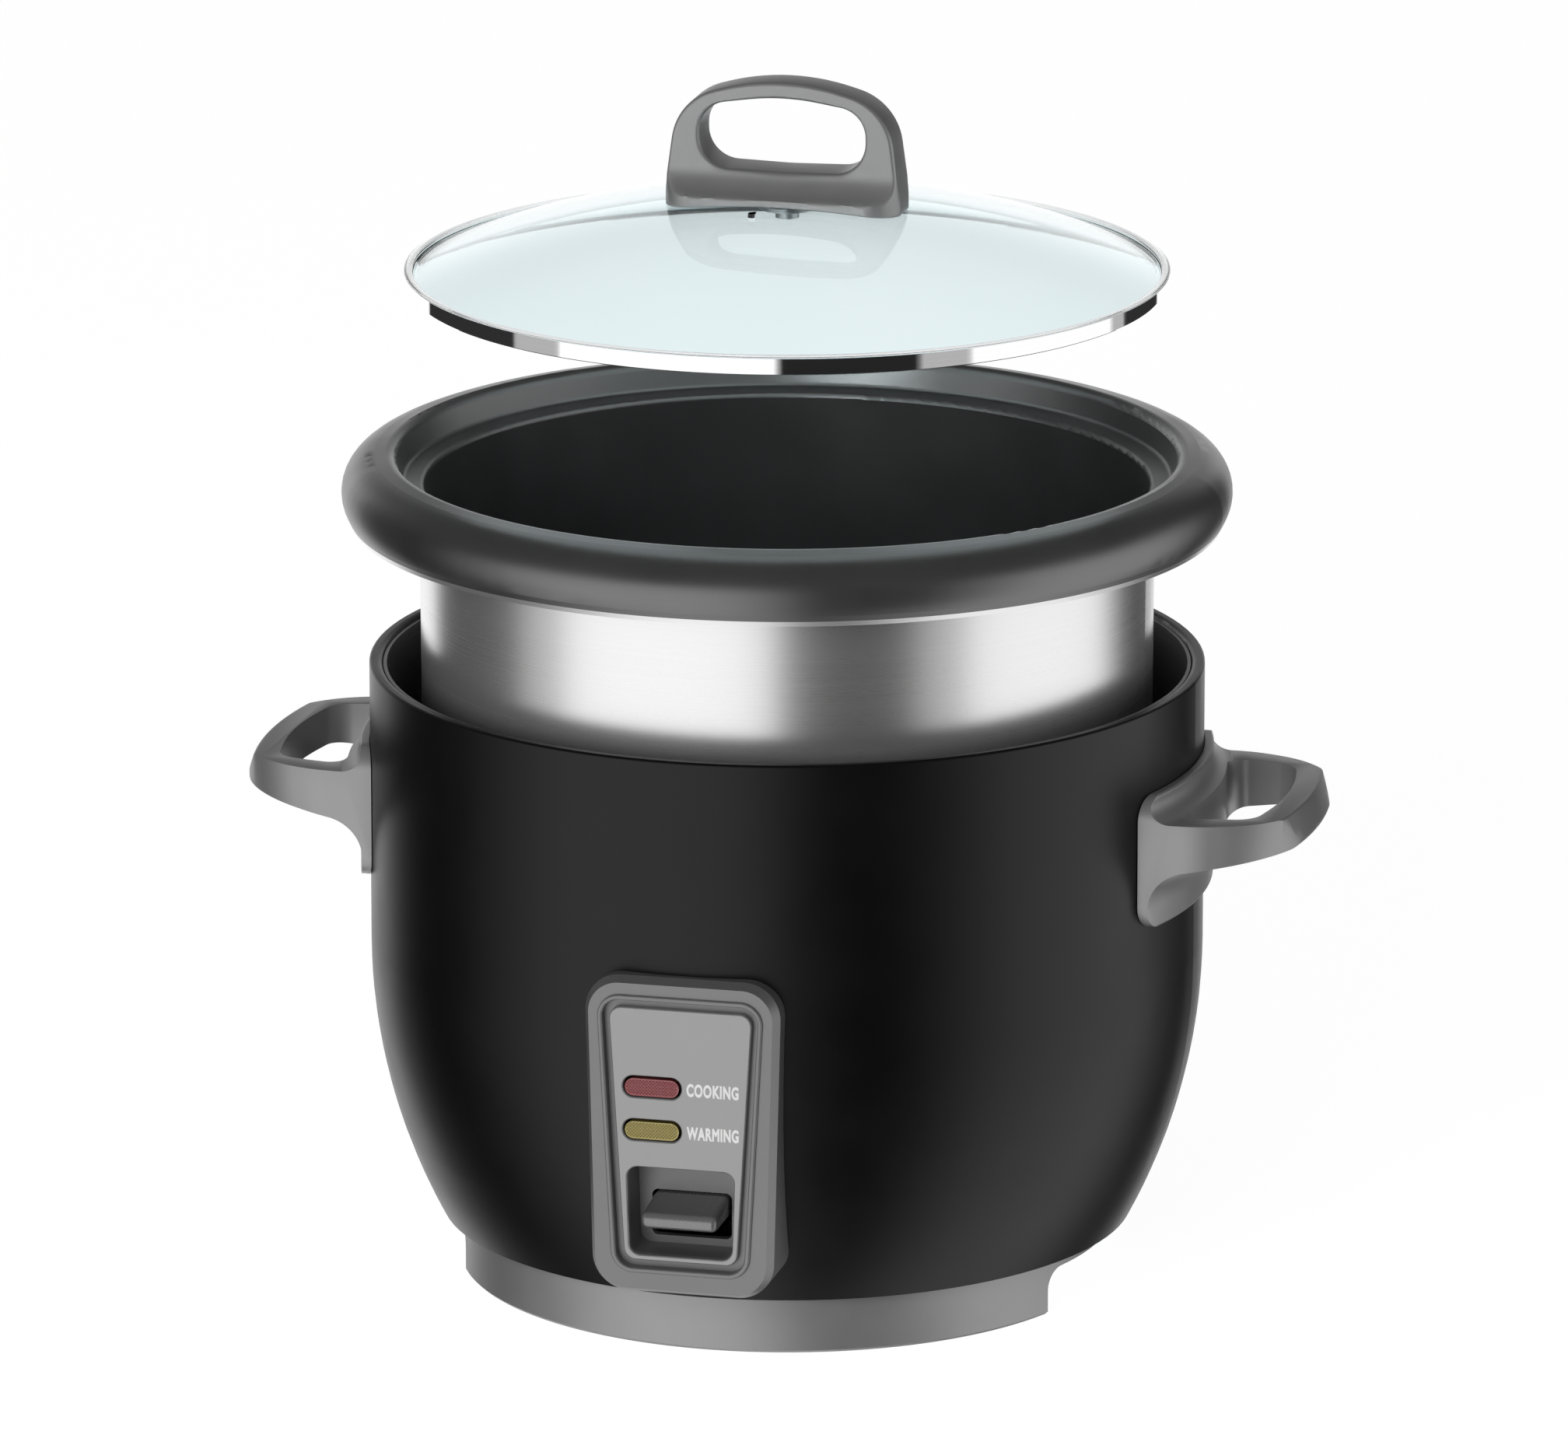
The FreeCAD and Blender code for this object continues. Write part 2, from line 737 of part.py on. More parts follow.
# Bottom plate with vents
plate = new_body("bottom_plate")
sweep(plate, "Pad", sketch_on(plate, "XY", lift="plate_low", rings=[("0", "0", "plate_radius")]),
      "plate_thick")
vent = sweep(plate, "Pocket", sketch_on(plate, "XY", [
    ("vent_inner", "-vent_width / 2", "vent_width * 0.48"),
    ("vent_outer", "-vent_width / 2", "vent_width * 0.48"),
    ("vent_outer", "vent_width / 2", "vent_width * 0.48"),
    ("vent_inner", "vent_width / 2", "vent_width * 0.48"),
], lift="plate_top"), "plate_thick * 2")
vents = plate.newObject("PartDesign::PolarPattern", "vents")
vents.Originals = [vent]
vents.Axis = (vent.Profile[0], ["N_Axis"])
vents.Angle = 360
vents.Occurrences = 20
settle(plate, vent, vents, False)
sweep(plate, "Pocket", sketch_on(plate, "XY", lift="plate_top", rings=[
    (x, y, "bore_radius + seat_gap") for x, y in POSTS
]), "plate_thick * 2")

# Posts between the plate and the liner, and their screws
post_items = []
low_screws = []
high_screws = []
for i, (x, y) in enumerate(POSTS):
    post = rod(f"post_{i}", "post_radius", "floor_low - plate_top", x, y, "plate_top")
    low_bore = rod(f"post_low_{i}", "bore_radius", "screw_length", x, y, "plate_top")
    high_bore = rod(f"post_high_{i}", "bore_radius", "screw_length", x, y, "floor_low", "down")
    post_items.append(cut(f"support_post_{i}", post, low_bore, high_bore))
    low_screws.append(screw(f"bottom_screw_{i}", x, y, "plate_low", "screw_length"))
    high_screws.append(screw(f"liner_screw_{i}", x, y, "floor_top", "screw_length", "down"))
group("support_posts", post_items)
group("bottom_screws", low_screws)
group("liner_screws", high_screws)

# Heater plate with a groove for the element
heater = new_body("heater_plate")
spin(heater, "Revolution", sketch_on(heater, "XZ", [
    ("heater_hole", "heater_top", "heater_round / 2"),
    ("heater_hole", "heater_low"),
    ("boss_ring - boss_half", "heater_low"),
    ("boss_ring - boss_half", "boss_low"),
    ("boss_ring - element_radius - run_gap", "boss_low"),
    ("boss_ring - element_radius - run_gap", "boss_low + element_radius + run_gap", "element_radius"),
    ("boss_ring + element_radius + run_gap", "boss_low + element_radius + run_gap", "element_radius"),
    ("boss_ring + element_radius + run_gap", "boss_low"),
    ("boss_ring + boss_half", "boss_low"),
    ("boss_ring + boss_half", "heater_low"),
    ("heater_radius", "heater_low", "heater_round / 2"),
    ("heater_radius", "heater_top", "heater_round"),
]))
sweep(heater, "Pocket", sketch_on(heater, "XY", lift="heater_low", rings=[
    (x, y, "bore_radius") for x, y in SPACERS
]), "heater_edge / 2", back=True)

# Tubular element with its two leads
coil = doc.addObject("Part::Torus", "element_ring")
coil.Placement.Rotation = FreeCAD.Rotation(V(0, 0, 1), 90)
drive(coil, Radius1="boss_ring", Radius2="element_radius", Angle3="element_sweep")
drive(coil, Placement__Base__z="boss_low", Placement__Rotation__Angle="90 + (360 - element_sweep) / 2")
leads = [rod(f"element_lead_{i}", "lead_radius", "lead_drop", x, y, "boss_low", "down")
         for i, (x, y) in enumerate(LEADS)]
node("heater_element", fuse("element", coil, *leads))

# Spacers between the liner and the heater plate, and their screws
spacer_items = []
heater_screw_items = []
for i, (x, y) in enumerate(SPACERS):
    tube = rod(f"spacer_{i}", "post_radius", "heater_low - floor_top", x, y, "floor_top")
    bore = rod(f"spacer_bore_{i}", "bore_radius + seat_gap", "heater_low - floor_top", x, y, "floor_top")
    spacer_items.append(cut(f"heater_spacer_{i}", tube, bore))
    heater_screw_items.append(screw(f"heater_screw_{i}", x, y, "floor_low",
                                    "heater_low - floor_low + heater_edge / 2"))
group("heater_spacers", spacer_items)
group("heater_screws", heater_screw_items)

# Thermostat cup under the liner
housing_line = [
    ("rod_radius + sensor_wall", "housing_floor"),
    ("housing_radius", "housing_floor"),
    ("housing_radius", "floor_low"),
    ("housing_radius + housing_flange", "floor_low"),
]
node("sensor_housing", turned("housing", housing_line, "sensor_wall"))

# Spring cap that feels the pot, with its ferrite core
cap_line = [
    ("0", "heater_top"),
    ("sensor_radius", "heater_top", "sensor_round"),
    ("sensor_radius", "cap_low"),
]
node("sensor_cap", turned("cap", cap_line, "sensor_wall"))
node("sensor_core", rod("core", "core_radius", "core_thick", "0", "0", "core_low"))

# Thermostat spring
spring_radius = value("sensor_radius - sensor_wall / 2")
spring_foot = value("housing_floor + spring_wire / 2 + run_gap")
spring_rise = value("cap_low - housing_floor - spring_wire - run_gap * 2")
helix = Part.makeHelix(spring_rise / value("spring_turns"), spring_rise, spring_radius)
wire_end = Part.Wire(Part.makeCircle(value("spring_wire") / 2, V(spring_radius, 0, 0), V(0, 1, 0)))
spring = doc.addObject("Part::Feature", "spring")
spring.Shape = Part.Wire(helix).makePipeShell([wire_end], True, True)
spring.Placement.Base = V(0, 0, spring_foot)
node("sensor_spring", spring)

# Magnet and the rod that the lever lifts
node("magnet", rod("magnet_disc", "magnet_radius", "magnet_thick", "0", "0", "magnet_low"))
rod_bar = rod("rod_bar", "rod_radius", "magnet_low - lever_up - seat_gap - rod_radius", "0", "0",
              "lever_up + seat_gap + rod_radius")
rod_tip = doc.addObject("Part::Sphere", "rod_tip")
drive(rod_tip, Radius="rod_radius", Placement__Base__z="lever_up + seat_gap + rod_radius")
node("magnet_rod", fuse("rod_whole", rod_bar, rod_tip))

# Cook lever with its barrel
lever_line = [
    ("-paddle_back - socket_depth + run_gap * 2", "arm_height + lever_thick / 2"),
    ("-lever_step_outer", "arm_height + lever_thick / 2", "lever_thick * 2"),
    ("-lever_step_inner", "lever_up", "lever_thick * 2"),
    ("lever_tail", "lever_up"),
]
barrel = rod("barrel", "barrel_radius", "barrel_half * 2", "-barrel_half", "-lever_pivot",
             "lever_height", "right")
barrel_bore = rod("barrel_bore", "pin_radius + run_gap", "barrel_half * 2", "-barrel_half", "-lever_pivot",
                  "lever_height", "right")
lever_strip = bent("lever", lever_line, "lever_thick", "lever_width")
node("lever_arm", cut("lever", fuse("lever_whole", lever_strip, barrel), barrel_bore))
node("lever_pin", rod("pin", "pin_radius", "bracket_half * 2 + bracket_wall",
                      "-bracket_half - bracket_wall / 2", "-lever_pivot", "lever_height", "right"))

# Bracket that holds the lever pin on the bottom plate
bracket = new_body("lever_bracket")
sweep(bracket, "Pad", sketch_on(bracket, "XZ", [
    ("-bracket_half", "plate_top"),
    ("bracket_half", "plate_top"),
    ("bracket_half", "lever_height + barrel_radius"),
    ("bracket_half - bracket_wall", "lever_height + barrel_radius"),
    ("bracket_half - bracket_wall", "plate_top + bracket_wall"),
    ("-bracket_half + bracket_wall", "plate_top + bracket_wall"),
    ("-bracket_half + bracket_wall", "lever_height + barrel_radius"),
    ("-bracket_half", "lever_height + barrel_radius"),
], lift="lever_pivot - bracket_depth / 2"), "bracket_depth")
sweep(bracket, "Pocket", sketch_on(bracket, "YZ", rings=[("-lever_pivot", "lever_height", "pin_radius")]),
      both=True)

# Paddle pressed by the finger
paddle = new_body("lever_paddle")
sweep(paddle, "Pad", sketch_on(paddle, "YZ", [
    ("-paddle_front", "paddle_low", "paddle_nose_round"),
    ("-paddle_back", "paddle_low"),
    ("-paddle_back", "paddle_low + paddle_thick"),
    ("-paddle_shoulder", "paddle_low + paddle_thick"),
    ("-paddle_front", "paddle_low + paddle_nose", "paddle_nose_round"),
]), "paddle_half * 2", both=True)
dress(paddle, "Fillet", lambda edge: any(
    lies(edge, "x", side * value("paddle_half")) for side in (-1, 1)
) and edge.CenterOfMass.y < -value("paddle_back") - 1, Radius="paddle_round")
sweep(paddle, "Pocket", sketch_on(paddle, "XZ", [
    ("-lever_width / 2 - run_gap", "arm_height - lever_thick / 2 - run_gap"),
    ("lever_width / 2 + run_gap", "arm_height - lever_thick / 2 - run_gap"),
    ("lever_width / 2 + run_gap", "arm_height + lever_thick / 2 + run_gap"),
    ("-lever_width / 2 - run_gap", "arm_height + lever_thick / 2 + run_gap"),
], lift="paddle_back"), "socket_depth", back=True)

# Control panel, hollowed to fit round the shell
panel = new_body("control_panel")
sweep(panel, "Pad", sketch_on(panel, "XZ", shield(
    "panel_low", "panel_high", "panel_low_half", "panel_high_half", "panel_round"
), lift="foot_radius - foot_flange"), "panel_front - foot_radius + foot_flange")
spin(panel, "Groove", sketch_on(panel, "XZ", [
    ("0", "0"),
    ("cover_foot", "0"),
    ("cover_foot", "base_height", None, "cover_radius"),
    ("body_radius + fit_gap", "bend_start"),
    ("body_radius + fit_gap", "body_height"),
    ("0", "body_height"),
]))
dress(panel, "Chamfer", lambda edge: lies(edge, "y", -value("panel_front")),
      Size="panel_slope", Size2="panel_slope_depth")
sweep(panel, "Pad", sketch_on(panel, "XZ", shield(
    "tub_low", "tub_high", "recess_high_half + tub_wall", "recess_high_half + tub_wall", "tub_wall / 2"
), lift="tub_back"), "panel_front - panel_slope_depth - tub_back - well_depth")
well = shield("bead_low + bead_width", "bead_high - bead_width", "bead_low_half - bead_width",
              "bead_high_half - bead_width", "bead_round - bead_width")
sweep(panel, "Pad", sketch_on(panel, "XZ", well, shield(
    "bead_low", "bead_high", "bead_low_half", "bead_high_half", "bead_round"
), lift="panel_front"), "bead_height")
dress(panel, "Fillet", lambda edge: lies(edge, "y", -value("panel_front + bead_height")),
      Radius="bead_height * 0.7")
sweep(panel, "Pocket", sketch_on(panel, "XZ", well, lift="panel_front"), "well_depth")
recess = shield("recess_low", "recess_high", "recess_low_half", "recess_high_half", "recess_round")
sweep(panel, "Pocket", sketch_on(panel, "XZ", recess, lift="panel_front"), "panel_front - recess_back")
sweep(panel, "Pocket", sketch_on(panel, "XZ", shield(
    "paddle_low - slot_drop", "paddle_low + paddle_thick + slot_rise",
    "paddle_half + slot_side", "paddle_half + slot_side", "paddle_round"
), lift="recess_back"), "tub_wall * 2")
lens_holes = [pill("cook_lens_z", "fit_gap"), pill("warm_lens_z", "fit_gap")]
sweep(panel, "Pocket", sketch_on(panel, "XZ", *lens_holes, lift="panel_front"), "lens_depth * 2")

# Face plate set in the panel
face = new_body("panel_face")
sweep(face, "Pad", sketch_on(face, "XZ", shield(
    "face_low", "face_high", "face_low_half", "face_high_half", "face_round"
), recess, *lens_holes, lift="well_back"), "face_thick")
dress(face, "Fillet", lambda edge: lies(edge, "y", -value("face_front")), Radius="face_thick / 4")

# Indicator lenses
for label, height in (("cook_lens", "cook_lens_z"), ("warm_lens", "warm_lens_z")):
    lens = new_body(label)
    sweep(lens, "Pad", sketch_on(lens, "XZ", pill(height), lift="lens_back"), "lens_depth + lens_proud")
    dress(lens, "Fillet", lambda edge: lies(edge, "y", -value("face_front + lens_proud")),
          Radius="lens_proud")

# Indicator lamps and the strip that holds them
group("indicator_lamps", [
    rod(f"lamp_{i}", "lamp_radius", "lamp_length", "lens_x - lamp_length / 2", "-lamp_y", height, "right")
    for i, height in enumerate(("cook_lens_z", "warm_lens_z"))
])
node("lamp_holder", block("holder", "lens_x - lamp_length / 2", "-lamp_y + lamp_radius + run_gap",
                          "tub_high", "lamp_length", "tub_wall * 0.75",
                          "window_high - tub_high - lamp_radius"))

# Switch worked by the lever
switch_box = block("switch_box", "-switch_half", "-switch_front", "plate_top", "switch_half * 2",
                   "switch_front - switch_back", "switch_height")
plunger = rod("switch_plunger", "plunger_radius", "plunger_height", "0", "-switch_back - plunger_radius * 2",
              "plate_top + switch_height")
switch_tabs = [
    block(f"switch_tab_{i}", "-switch_half / 2", "-switch_front - tab_length",
          f"plate_top + switch_height * {share}", "switch_half", "tab_length", "clip_wall")
    for i, share in enumerate((0.3, 0.7))
]
node("micro_switch", fuse("switch", switch_box, plunger, *switch_tabs))

# Terminal block
blocks = new_body("terminal_block")
ways = ("block_x - block_length / 3", "block_x", "block_x + block_length / 3")
sweep(blocks, "Pad", sketch_on(blocks, "XY", [
    ("block_x - block_length / 2", "block_y - block_depth / 2"),
    ("block_x + block_length / 2", "block_y - block_depth / 2"),
    ("block_x + block_length / 2", "block_y + block_depth / 2"),
    ("block_x - block_length / 2", "block_y + block_depth / 2"),
], lift="plate_top"), "block_height")
sweep(blocks, "Pocket", sketch_on(blocks, "XZ", rings=[
    (way, "plate_top + block_height * 0.4", "block_length / 10") for way in ways
]), both=True)
sweep(blocks, "Pocket", sketch_on(blocks, "XY", lift="plate_top + block_height", rings=[
    (way, "block_y", "block_length / 12") for way in ways
]), "block_height / 4")

# Thermal fuse and its clip under the liner
fuse_z = "floor_low - fuse_radius - run_gap"
fuse_bar = rod("fuse_bar", "fuse_radius", "fuse_length", "-fuse_length / 2", "fuse_y", fuse_z, "right")
fuse_wire = rod("fuse_wire", "fuse_radius / 4", "fuse_length + fuse_lead * 2",
                "-fuse_length / 2 - fuse_lead", "fuse_y", fuse_z, "right")
node("thermal_fuse", fuse("fuse_whole", fuse_bar, fuse_wire))
saddle_low = "floor_low - fuse_radius * 2 - run_gap * 2"
clip_line = [
    ("fuse_y - fuse_radius - run_gap - clip_wing", "floor_low"),
    ("fuse_y - fuse_radius - run_gap", "floor_low"),
    ("fuse_y - fuse_radius - run_gap", saddle_low, "fuse_radius * 0.9"),
    ("fuse_y + fuse_radius + run_gap", saddle_low, "fuse_radius * 0.9"),
    ("fuse_y + fuse_radius + run_gap", "floor_low"),
    ("fuse_y + fuse_radius + run_gap + clip_wing", "floor_low"),
]
node("fuse_clip", bent("clip", clip_line, "clip_wall", "clip_half * 2"))

# Power inlet at the back, with its foot on the bottom plate
inlet = new_body("power_inlet")
sweep(inlet, "Pad", sketch_on(inlet, "XZ", shield(
    "inlet_low", "inlet_high", "inlet_half", "inlet_half", "inlet_round"
), lift="-inlet_back"), "inlet_face - inlet_back", back=True)
sweep(inlet, "Pad", sketch_on(inlet, "XZ", [
    ("-inlet_foot_half", "plate_top"),
    ("inlet_foot_half", "plate_top"),
    ("inlet_foot_half", "inlet_low + inlet_round"),
    ("-inlet_foot_half", "inlet_low + inlet_round"),
], lift="-inlet_back"), "inlet_foot_depth", back=True)
sweep(inlet, "Pocket", sketch_on(inlet, "XZ", shield(
    "inlet_low + inlet_wall", "inlet_high - inlet_wall", "inlet_half - inlet_wall",
    "inlet_half - inlet_wall", "inlet_round / 2"
), lift="-inlet_face"), "inlet_depth", back=True)
blade_z = "(inlet_low + inlet_high) / 2"
blade_places = [
    ("-blade_spread", f"{blade_z} - blade_radius"),
    ("blade_spread", f"{blade_z} - blade_radius"),
    ("0", f"{blade_z} + blade_radius * 1.5"),
]
sweep(inlet, "Pocket", sketch_on(inlet, "XZ", lift="-inlet_back", rings=[
    (x, z, "blade_radius") for x, z in blade_places
]), "inlet_face - inlet_back")
group("inlet_pins", [
    rod(f"inlet_pin_{i}", "blade_radius", "inlet_face - inlet_back", x, "inlet_back - inlet_wall", z, "rear")
    for i, (x, z) in enumerate(blade_places)
])


# Side handles, one turned round from the other
def side_handle(label, angle):
    """Loop handle turned about the cooker's axis, trimmed in plan and opened for the fingers."""
    grip = new_body(label)
    spin(grip, "Revolution", sketch_on(grip, "XZ", [
        ("grip_back", "grip_low"),
        ("grip_face", "grip_low", "grip_edge"),
        ("grip_face", "grip_root", "grip_cove"),
        ("grip_reach", "grip_tip", "grip_edge * 2"),
        ("grip_top_reach", "grip_top", "grip_edge"),
        ("grip_face", "grip_top", "grip_scoop"),
        ("grip_face", "grip_high", "grip_edge"),
        ("grip_back", "grip_high"),
    ]), "60")
    sweep(grip, "Pocket", sketch_on(grip, "XY", [
        ("0", "-grip_reach"),
        ("grip_reach * 2", "-grip_reach"),
        ("grip_reach * 2", "grip_reach"),
        ("0", "grip_reach"),
    ], [
        ("grip_back / 2", "-grip_half"),
        ("grip_face + grip_scoop", "-grip_half", "grip_corner"),
        ("grip_tip_x", "-grip_tip_half", "grip_corner"),
        ("grip_reach + grip_plate", "0"),
        ("grip_tip_x", "grip_tip_half", "grip_corner"),
        ("grip_face + grip_scoop", "grip_half", "grip_corner"),
        ("grip_back / 2", "grip_half"),
    ], lift="grip_high * 2"))
    sweep(grip, "Pocket", sketch_on(grip, "XY", [
        ("hole_root_x", "-hole_root_half", "hole_root_round"),
        ("hole_tip_x", "-hole_tip_half", "hole_tip_round"),
        ("hole_outer", "0", "hole_outer_bow"),
        ("hole_tip_x", "hole_tip_half", "hole_tip_round"),
        ("hole_root_x", "hole_root_half", "hole_root_round"),
        ("hole_inner", "0", "hole_inner_bow"),
    ], lift="grip_high * 2"))
    sweep(grip, "Pocket", sketch_on(grip, "YZ", shield(
        "0", "grip_high * 2", "grip_half * 2", "grip_half * 2", "grip_plate_corner"
    ), shield("grip_low", "grip_high", "grip_half", "grip_half", "grip_plate_corner")), back=True)
    sweep(grip, "Pocket", sketch_on(grip, "YZ", rings=[
        ("-grip_screw_half", "grip_screw_z", "bore_radius"),
        ("grip_screw_half", "grip_screw_z", "bore_radius"),
    ]), "grip_screw_x + screw_length", back=True)
    grip.Placement.Rotation = FreeCAD.Rotation(V(0, 0, 1), angle)
    return grip


side_handle("side_handle_right", 0)
side_handle("side_handle_left", 180)

# Screws that hold the handles from inside the shell
group("handle_screws", [
    screw(f"handle_screw_{i}", f"{sign}grip_screw_x", place, "grip_screw_z", "screw_length", way)
    for i, (sign, way, place) in enumerate([
        ("", "right", "-grip_screw_half"),
        ("", "right", "grip_screw_half"),
        ("-", "left", "-grip_screw_half"),
        ("-", "left", "grip_screw_half"),
    ])
])

# Inner pot with its rolled rim
pot_line = [
    ("0", "pot_floor"),
    ("pot_radius", "pot_floor", "pot_corner"),
    ("pot_radius + pot_draft", "pot_ledge", "pot_wall"),
    ("ledge_radius", "pot_ledge + ledge_rise", "pot_wall"),
    ("crest_radius", "pot_ledge + crest_rise", "crest_round"),
    ("shoulder_radius", "pot_ledge + shoulder_rise", "shoulder_round"),
    ("lip_radius", "pot_ledge - lip_drop"),
]
node("inner_pot", turned("pot", pot_line, "pot_wall"))

# Glass dome with its fixing hole and steam hole
glass = new_body("lid_glass")
spin(glass, "Revolution", sketch_on(glass, "XZ", [
    ("glass_hole", "dome_base + sqrt(dome_radius^2 - glass_hole^2)", None, "-dome_radius"),
    ("glass_radius", "glass_z"),
    ("glass_radius", "dome_base + sqrt(dome_inner^2 - glass_radius^2)", None, "dome_inner"),
    ("glass_hole", "dome_base + sqrt(dome_inner^2 - glass_hole^2)"),
]))
steam_sketch = sketch_on(glass, "XY", lift="dome_top", rings=[("steam_x", "steam_y", "steam_radius")])
sweep(glass, "Pocket", steam_sketch, "glass_thick * 2")

# Metal band crimped round the glass
lid_ring = new_body("lid_band")
spin(lid_ring, "Revolution", sketch_on(lid_ring, "XZ", [
    ("band_inner", "lid_low + band_height - band_wall / 2"),
    ("glass_radius + seat_gap", "glass_z + fit_gap / 2"),
    ("glass_radius + seat_gap", "lid_low + band_wall / 2"),
    ("glass_radius - band_wall * 1.5", "lid_low + band_wall / 2"),
    ("glass_radius - band_wall * 1.5", "lid_low"),
    ("band_skirt", "lid_low", "band_wall / 4"),
    ("band_skirt", "lid_low + band_height * 0.55", "band_wall / 3"),
    ("band_flange - band_wall / 2", "lid_low + band_height * 0.6", "band_wall / 3"),
    ("band_flange", "lid_low + band_height * 0.84", "band_wall * 0.6"),
    ("band_inner", "lid_low + band_height", "band_wall / 5"),
]))

# Lid handle shaped to the dome
knob = new_body("lid_handle")
sweep(knob, "Pad", sketch_on(knob, "XZ", [
    ("-knob_half", "dome_top - knob_foot * 2"),
    ("knob_half", "dome_top - knob_foot * 2"),
    ("knob_top_half", "knob_top - knob_crown", "knob_corner"),
    ("0", "knob_top", "knob_crown_round"),
    ("-knob_top_half", "knob_top - knob_crown", "knob_corner"),
], [
    ("-gap_half", "dome_top + gap_low", "gap_round"),
    ("gap_half", "dome_top + gap_low", "gap_round"),
    ("gap_half", "dome_top + gap_high", "gap_round"),
    ("-gap_half", "dome_top + gap_high", "gap_round"),
]), "knob_foot_depth", both=True)
sweep(knob, "Pocket", sketch_on(knob, "YZ", *[[
    (f"{sign}knob_waist / 2", "dome_top + knob_foot", "knob_flare"),
    (f"{sign}knob_foot_depth", "dome_top + knob_foot"),
    (f"{sign}knob_foot_depth", "knob_top + knob_foot"),
    (f"{sign}knob_depth / 2", "knob_top + knob_foot"),
] for sign in ("", "-")]), both=True)
dress(knob, "Fillet", lambda edge: edge.CenterOfMass.z > value("dome_top + gap_low - knob_edge")
      and edge.BoundBox.YLength < value("knob_depth / 2")
      and (edge.BoundBox.ZLength > 0.1 or abs(edge.CenterOfMass.x) < 0.1), Radius="knob_edge")
sweep(knob, "Pocket", sketch_on(knob, "XY", shield(
    "-knob_foot_depth", "knob_foot_depth", "knob_half * 2", "knob_half * 2", "knob_foot"
), shield(
    "-knob_foot_depth / 2", "knob_foot_depth / 2", "knob_half", "knob_half", "knob_foot_round"
), lift="knob_top * 2"))
spin(knob, "Groove", sketch_on(knob, "XZ", [
    ("0", "0"),
    ("knob_half * 2", "0"),
    ("knob_half * 2", "dome_base + sqrt((dome_radius + fit_gap)^2 - (knob_half * 2)^2)", None,
     "dome_radius + fit_gap"),
    ("0", "dome_top + fit_gap"),
]))
sweep(knob, "Pocket", sketch_on(knob, "XY", rings=[("0", "0", "lid_screw_radius + run_gap")]),
      "washer_top + lid_screw_length", back=True)

# Washer and screw under the glass
washer_disc = rod("washer_disc", "washer_radius", "washer_thick", "0", "0", "washer_low")
washer_hole = rod("washer_hole", "lid_screw_radius + seat_gap", "washer_thick", "0", "0", "washer_low")
node("lid_washer", cut("washer", washer_disc, washer_hole))
node("lid_screw", screw("lid_fixing", "0", "0", "washer_low", "lid_screw_length", radius="lid_screw_radius"))

# Check every object, then write one file per piece
doc.recompute()
for item in doc.Objects:
    if "Invalid" in item.State or "Error" in item.State:
        raise ValueError(f"{item.Name} has failed")
os.makedirs("parts", exist_ok=True)
for item in nodes:
    if item.Shape.isNull() or not item.Shape.isValid() or not item.Shape.Solids:
        raise ValueError(f"{item.Label} has no sound shape")
    item.Shape.exportStep(f"parts/{item.Label}.step")
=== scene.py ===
import math

import bmesh
import bpy
from mathutils import Matrix, Vector


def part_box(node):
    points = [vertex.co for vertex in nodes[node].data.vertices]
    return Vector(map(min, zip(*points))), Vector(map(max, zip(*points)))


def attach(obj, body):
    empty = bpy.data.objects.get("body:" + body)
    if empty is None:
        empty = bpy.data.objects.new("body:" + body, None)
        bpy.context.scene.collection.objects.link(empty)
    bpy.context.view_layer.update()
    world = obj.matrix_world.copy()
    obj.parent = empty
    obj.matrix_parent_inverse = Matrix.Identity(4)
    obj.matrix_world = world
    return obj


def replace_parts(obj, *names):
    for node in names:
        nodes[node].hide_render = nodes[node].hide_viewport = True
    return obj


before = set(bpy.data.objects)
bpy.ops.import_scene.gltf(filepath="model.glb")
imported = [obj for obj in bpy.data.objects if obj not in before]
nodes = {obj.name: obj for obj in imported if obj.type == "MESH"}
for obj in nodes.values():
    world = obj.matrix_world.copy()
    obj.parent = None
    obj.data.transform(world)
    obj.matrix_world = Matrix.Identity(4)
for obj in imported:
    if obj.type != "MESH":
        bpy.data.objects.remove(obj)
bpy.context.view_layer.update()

# Millimetres in a metre
MM = 1000

# Camera as the photograph was taken, in pixels of a 2016 by 1840 image
IMAGE_WIDTH = 2016
FOCAL_PIXELS = 17882
AXIS_PIXEL = 1012
SENSOR_WIDTH = 36.0
DISTANCE = 4.0
AZIMUTH = math.radians(13.85)
ELEVATION = math.radians(15.13)
TARGET = Vector((0, 0, 0.1622))
TO_CAMERA = Vector((math.sin(AZIMUTH), -math.cos(AZIMUTH), 0))
TO_RIGHT = Vector((math.cos(AZIMUTH), math.sin(AZIMUTH), 0))

# Light of the studio round the object, from each angle on, in degrees from the camera to its right
LIGHTS = [
    (-92, 0.5), (-74, 1.2), (-3, 0.02), (41, 0.5), (58, 1.15),
    (118, 0.5), (126, 0.03), (158, 1.25), (217, 0.03),
]
LIGHT_EDGE = 0.002
OVERHEAD_LIGHT = 0.12
OVERHEAD_FROM = 0.05
OVERHEAD_FULL = 0.45

# Soft lamp beside the camera
LAMP_TURN = math.radians(-22)
LAMP_RISE = math.radians(16)
LAMP_DISTANCE = 3.0
LAMP_SIZE = 1.6
LAMP_POWER = 45.0

# Pale floor
FLOOR_HALF = 30.0
FLOOR_GLOW = 0.8
FLOOR_LIGHT = 1.2


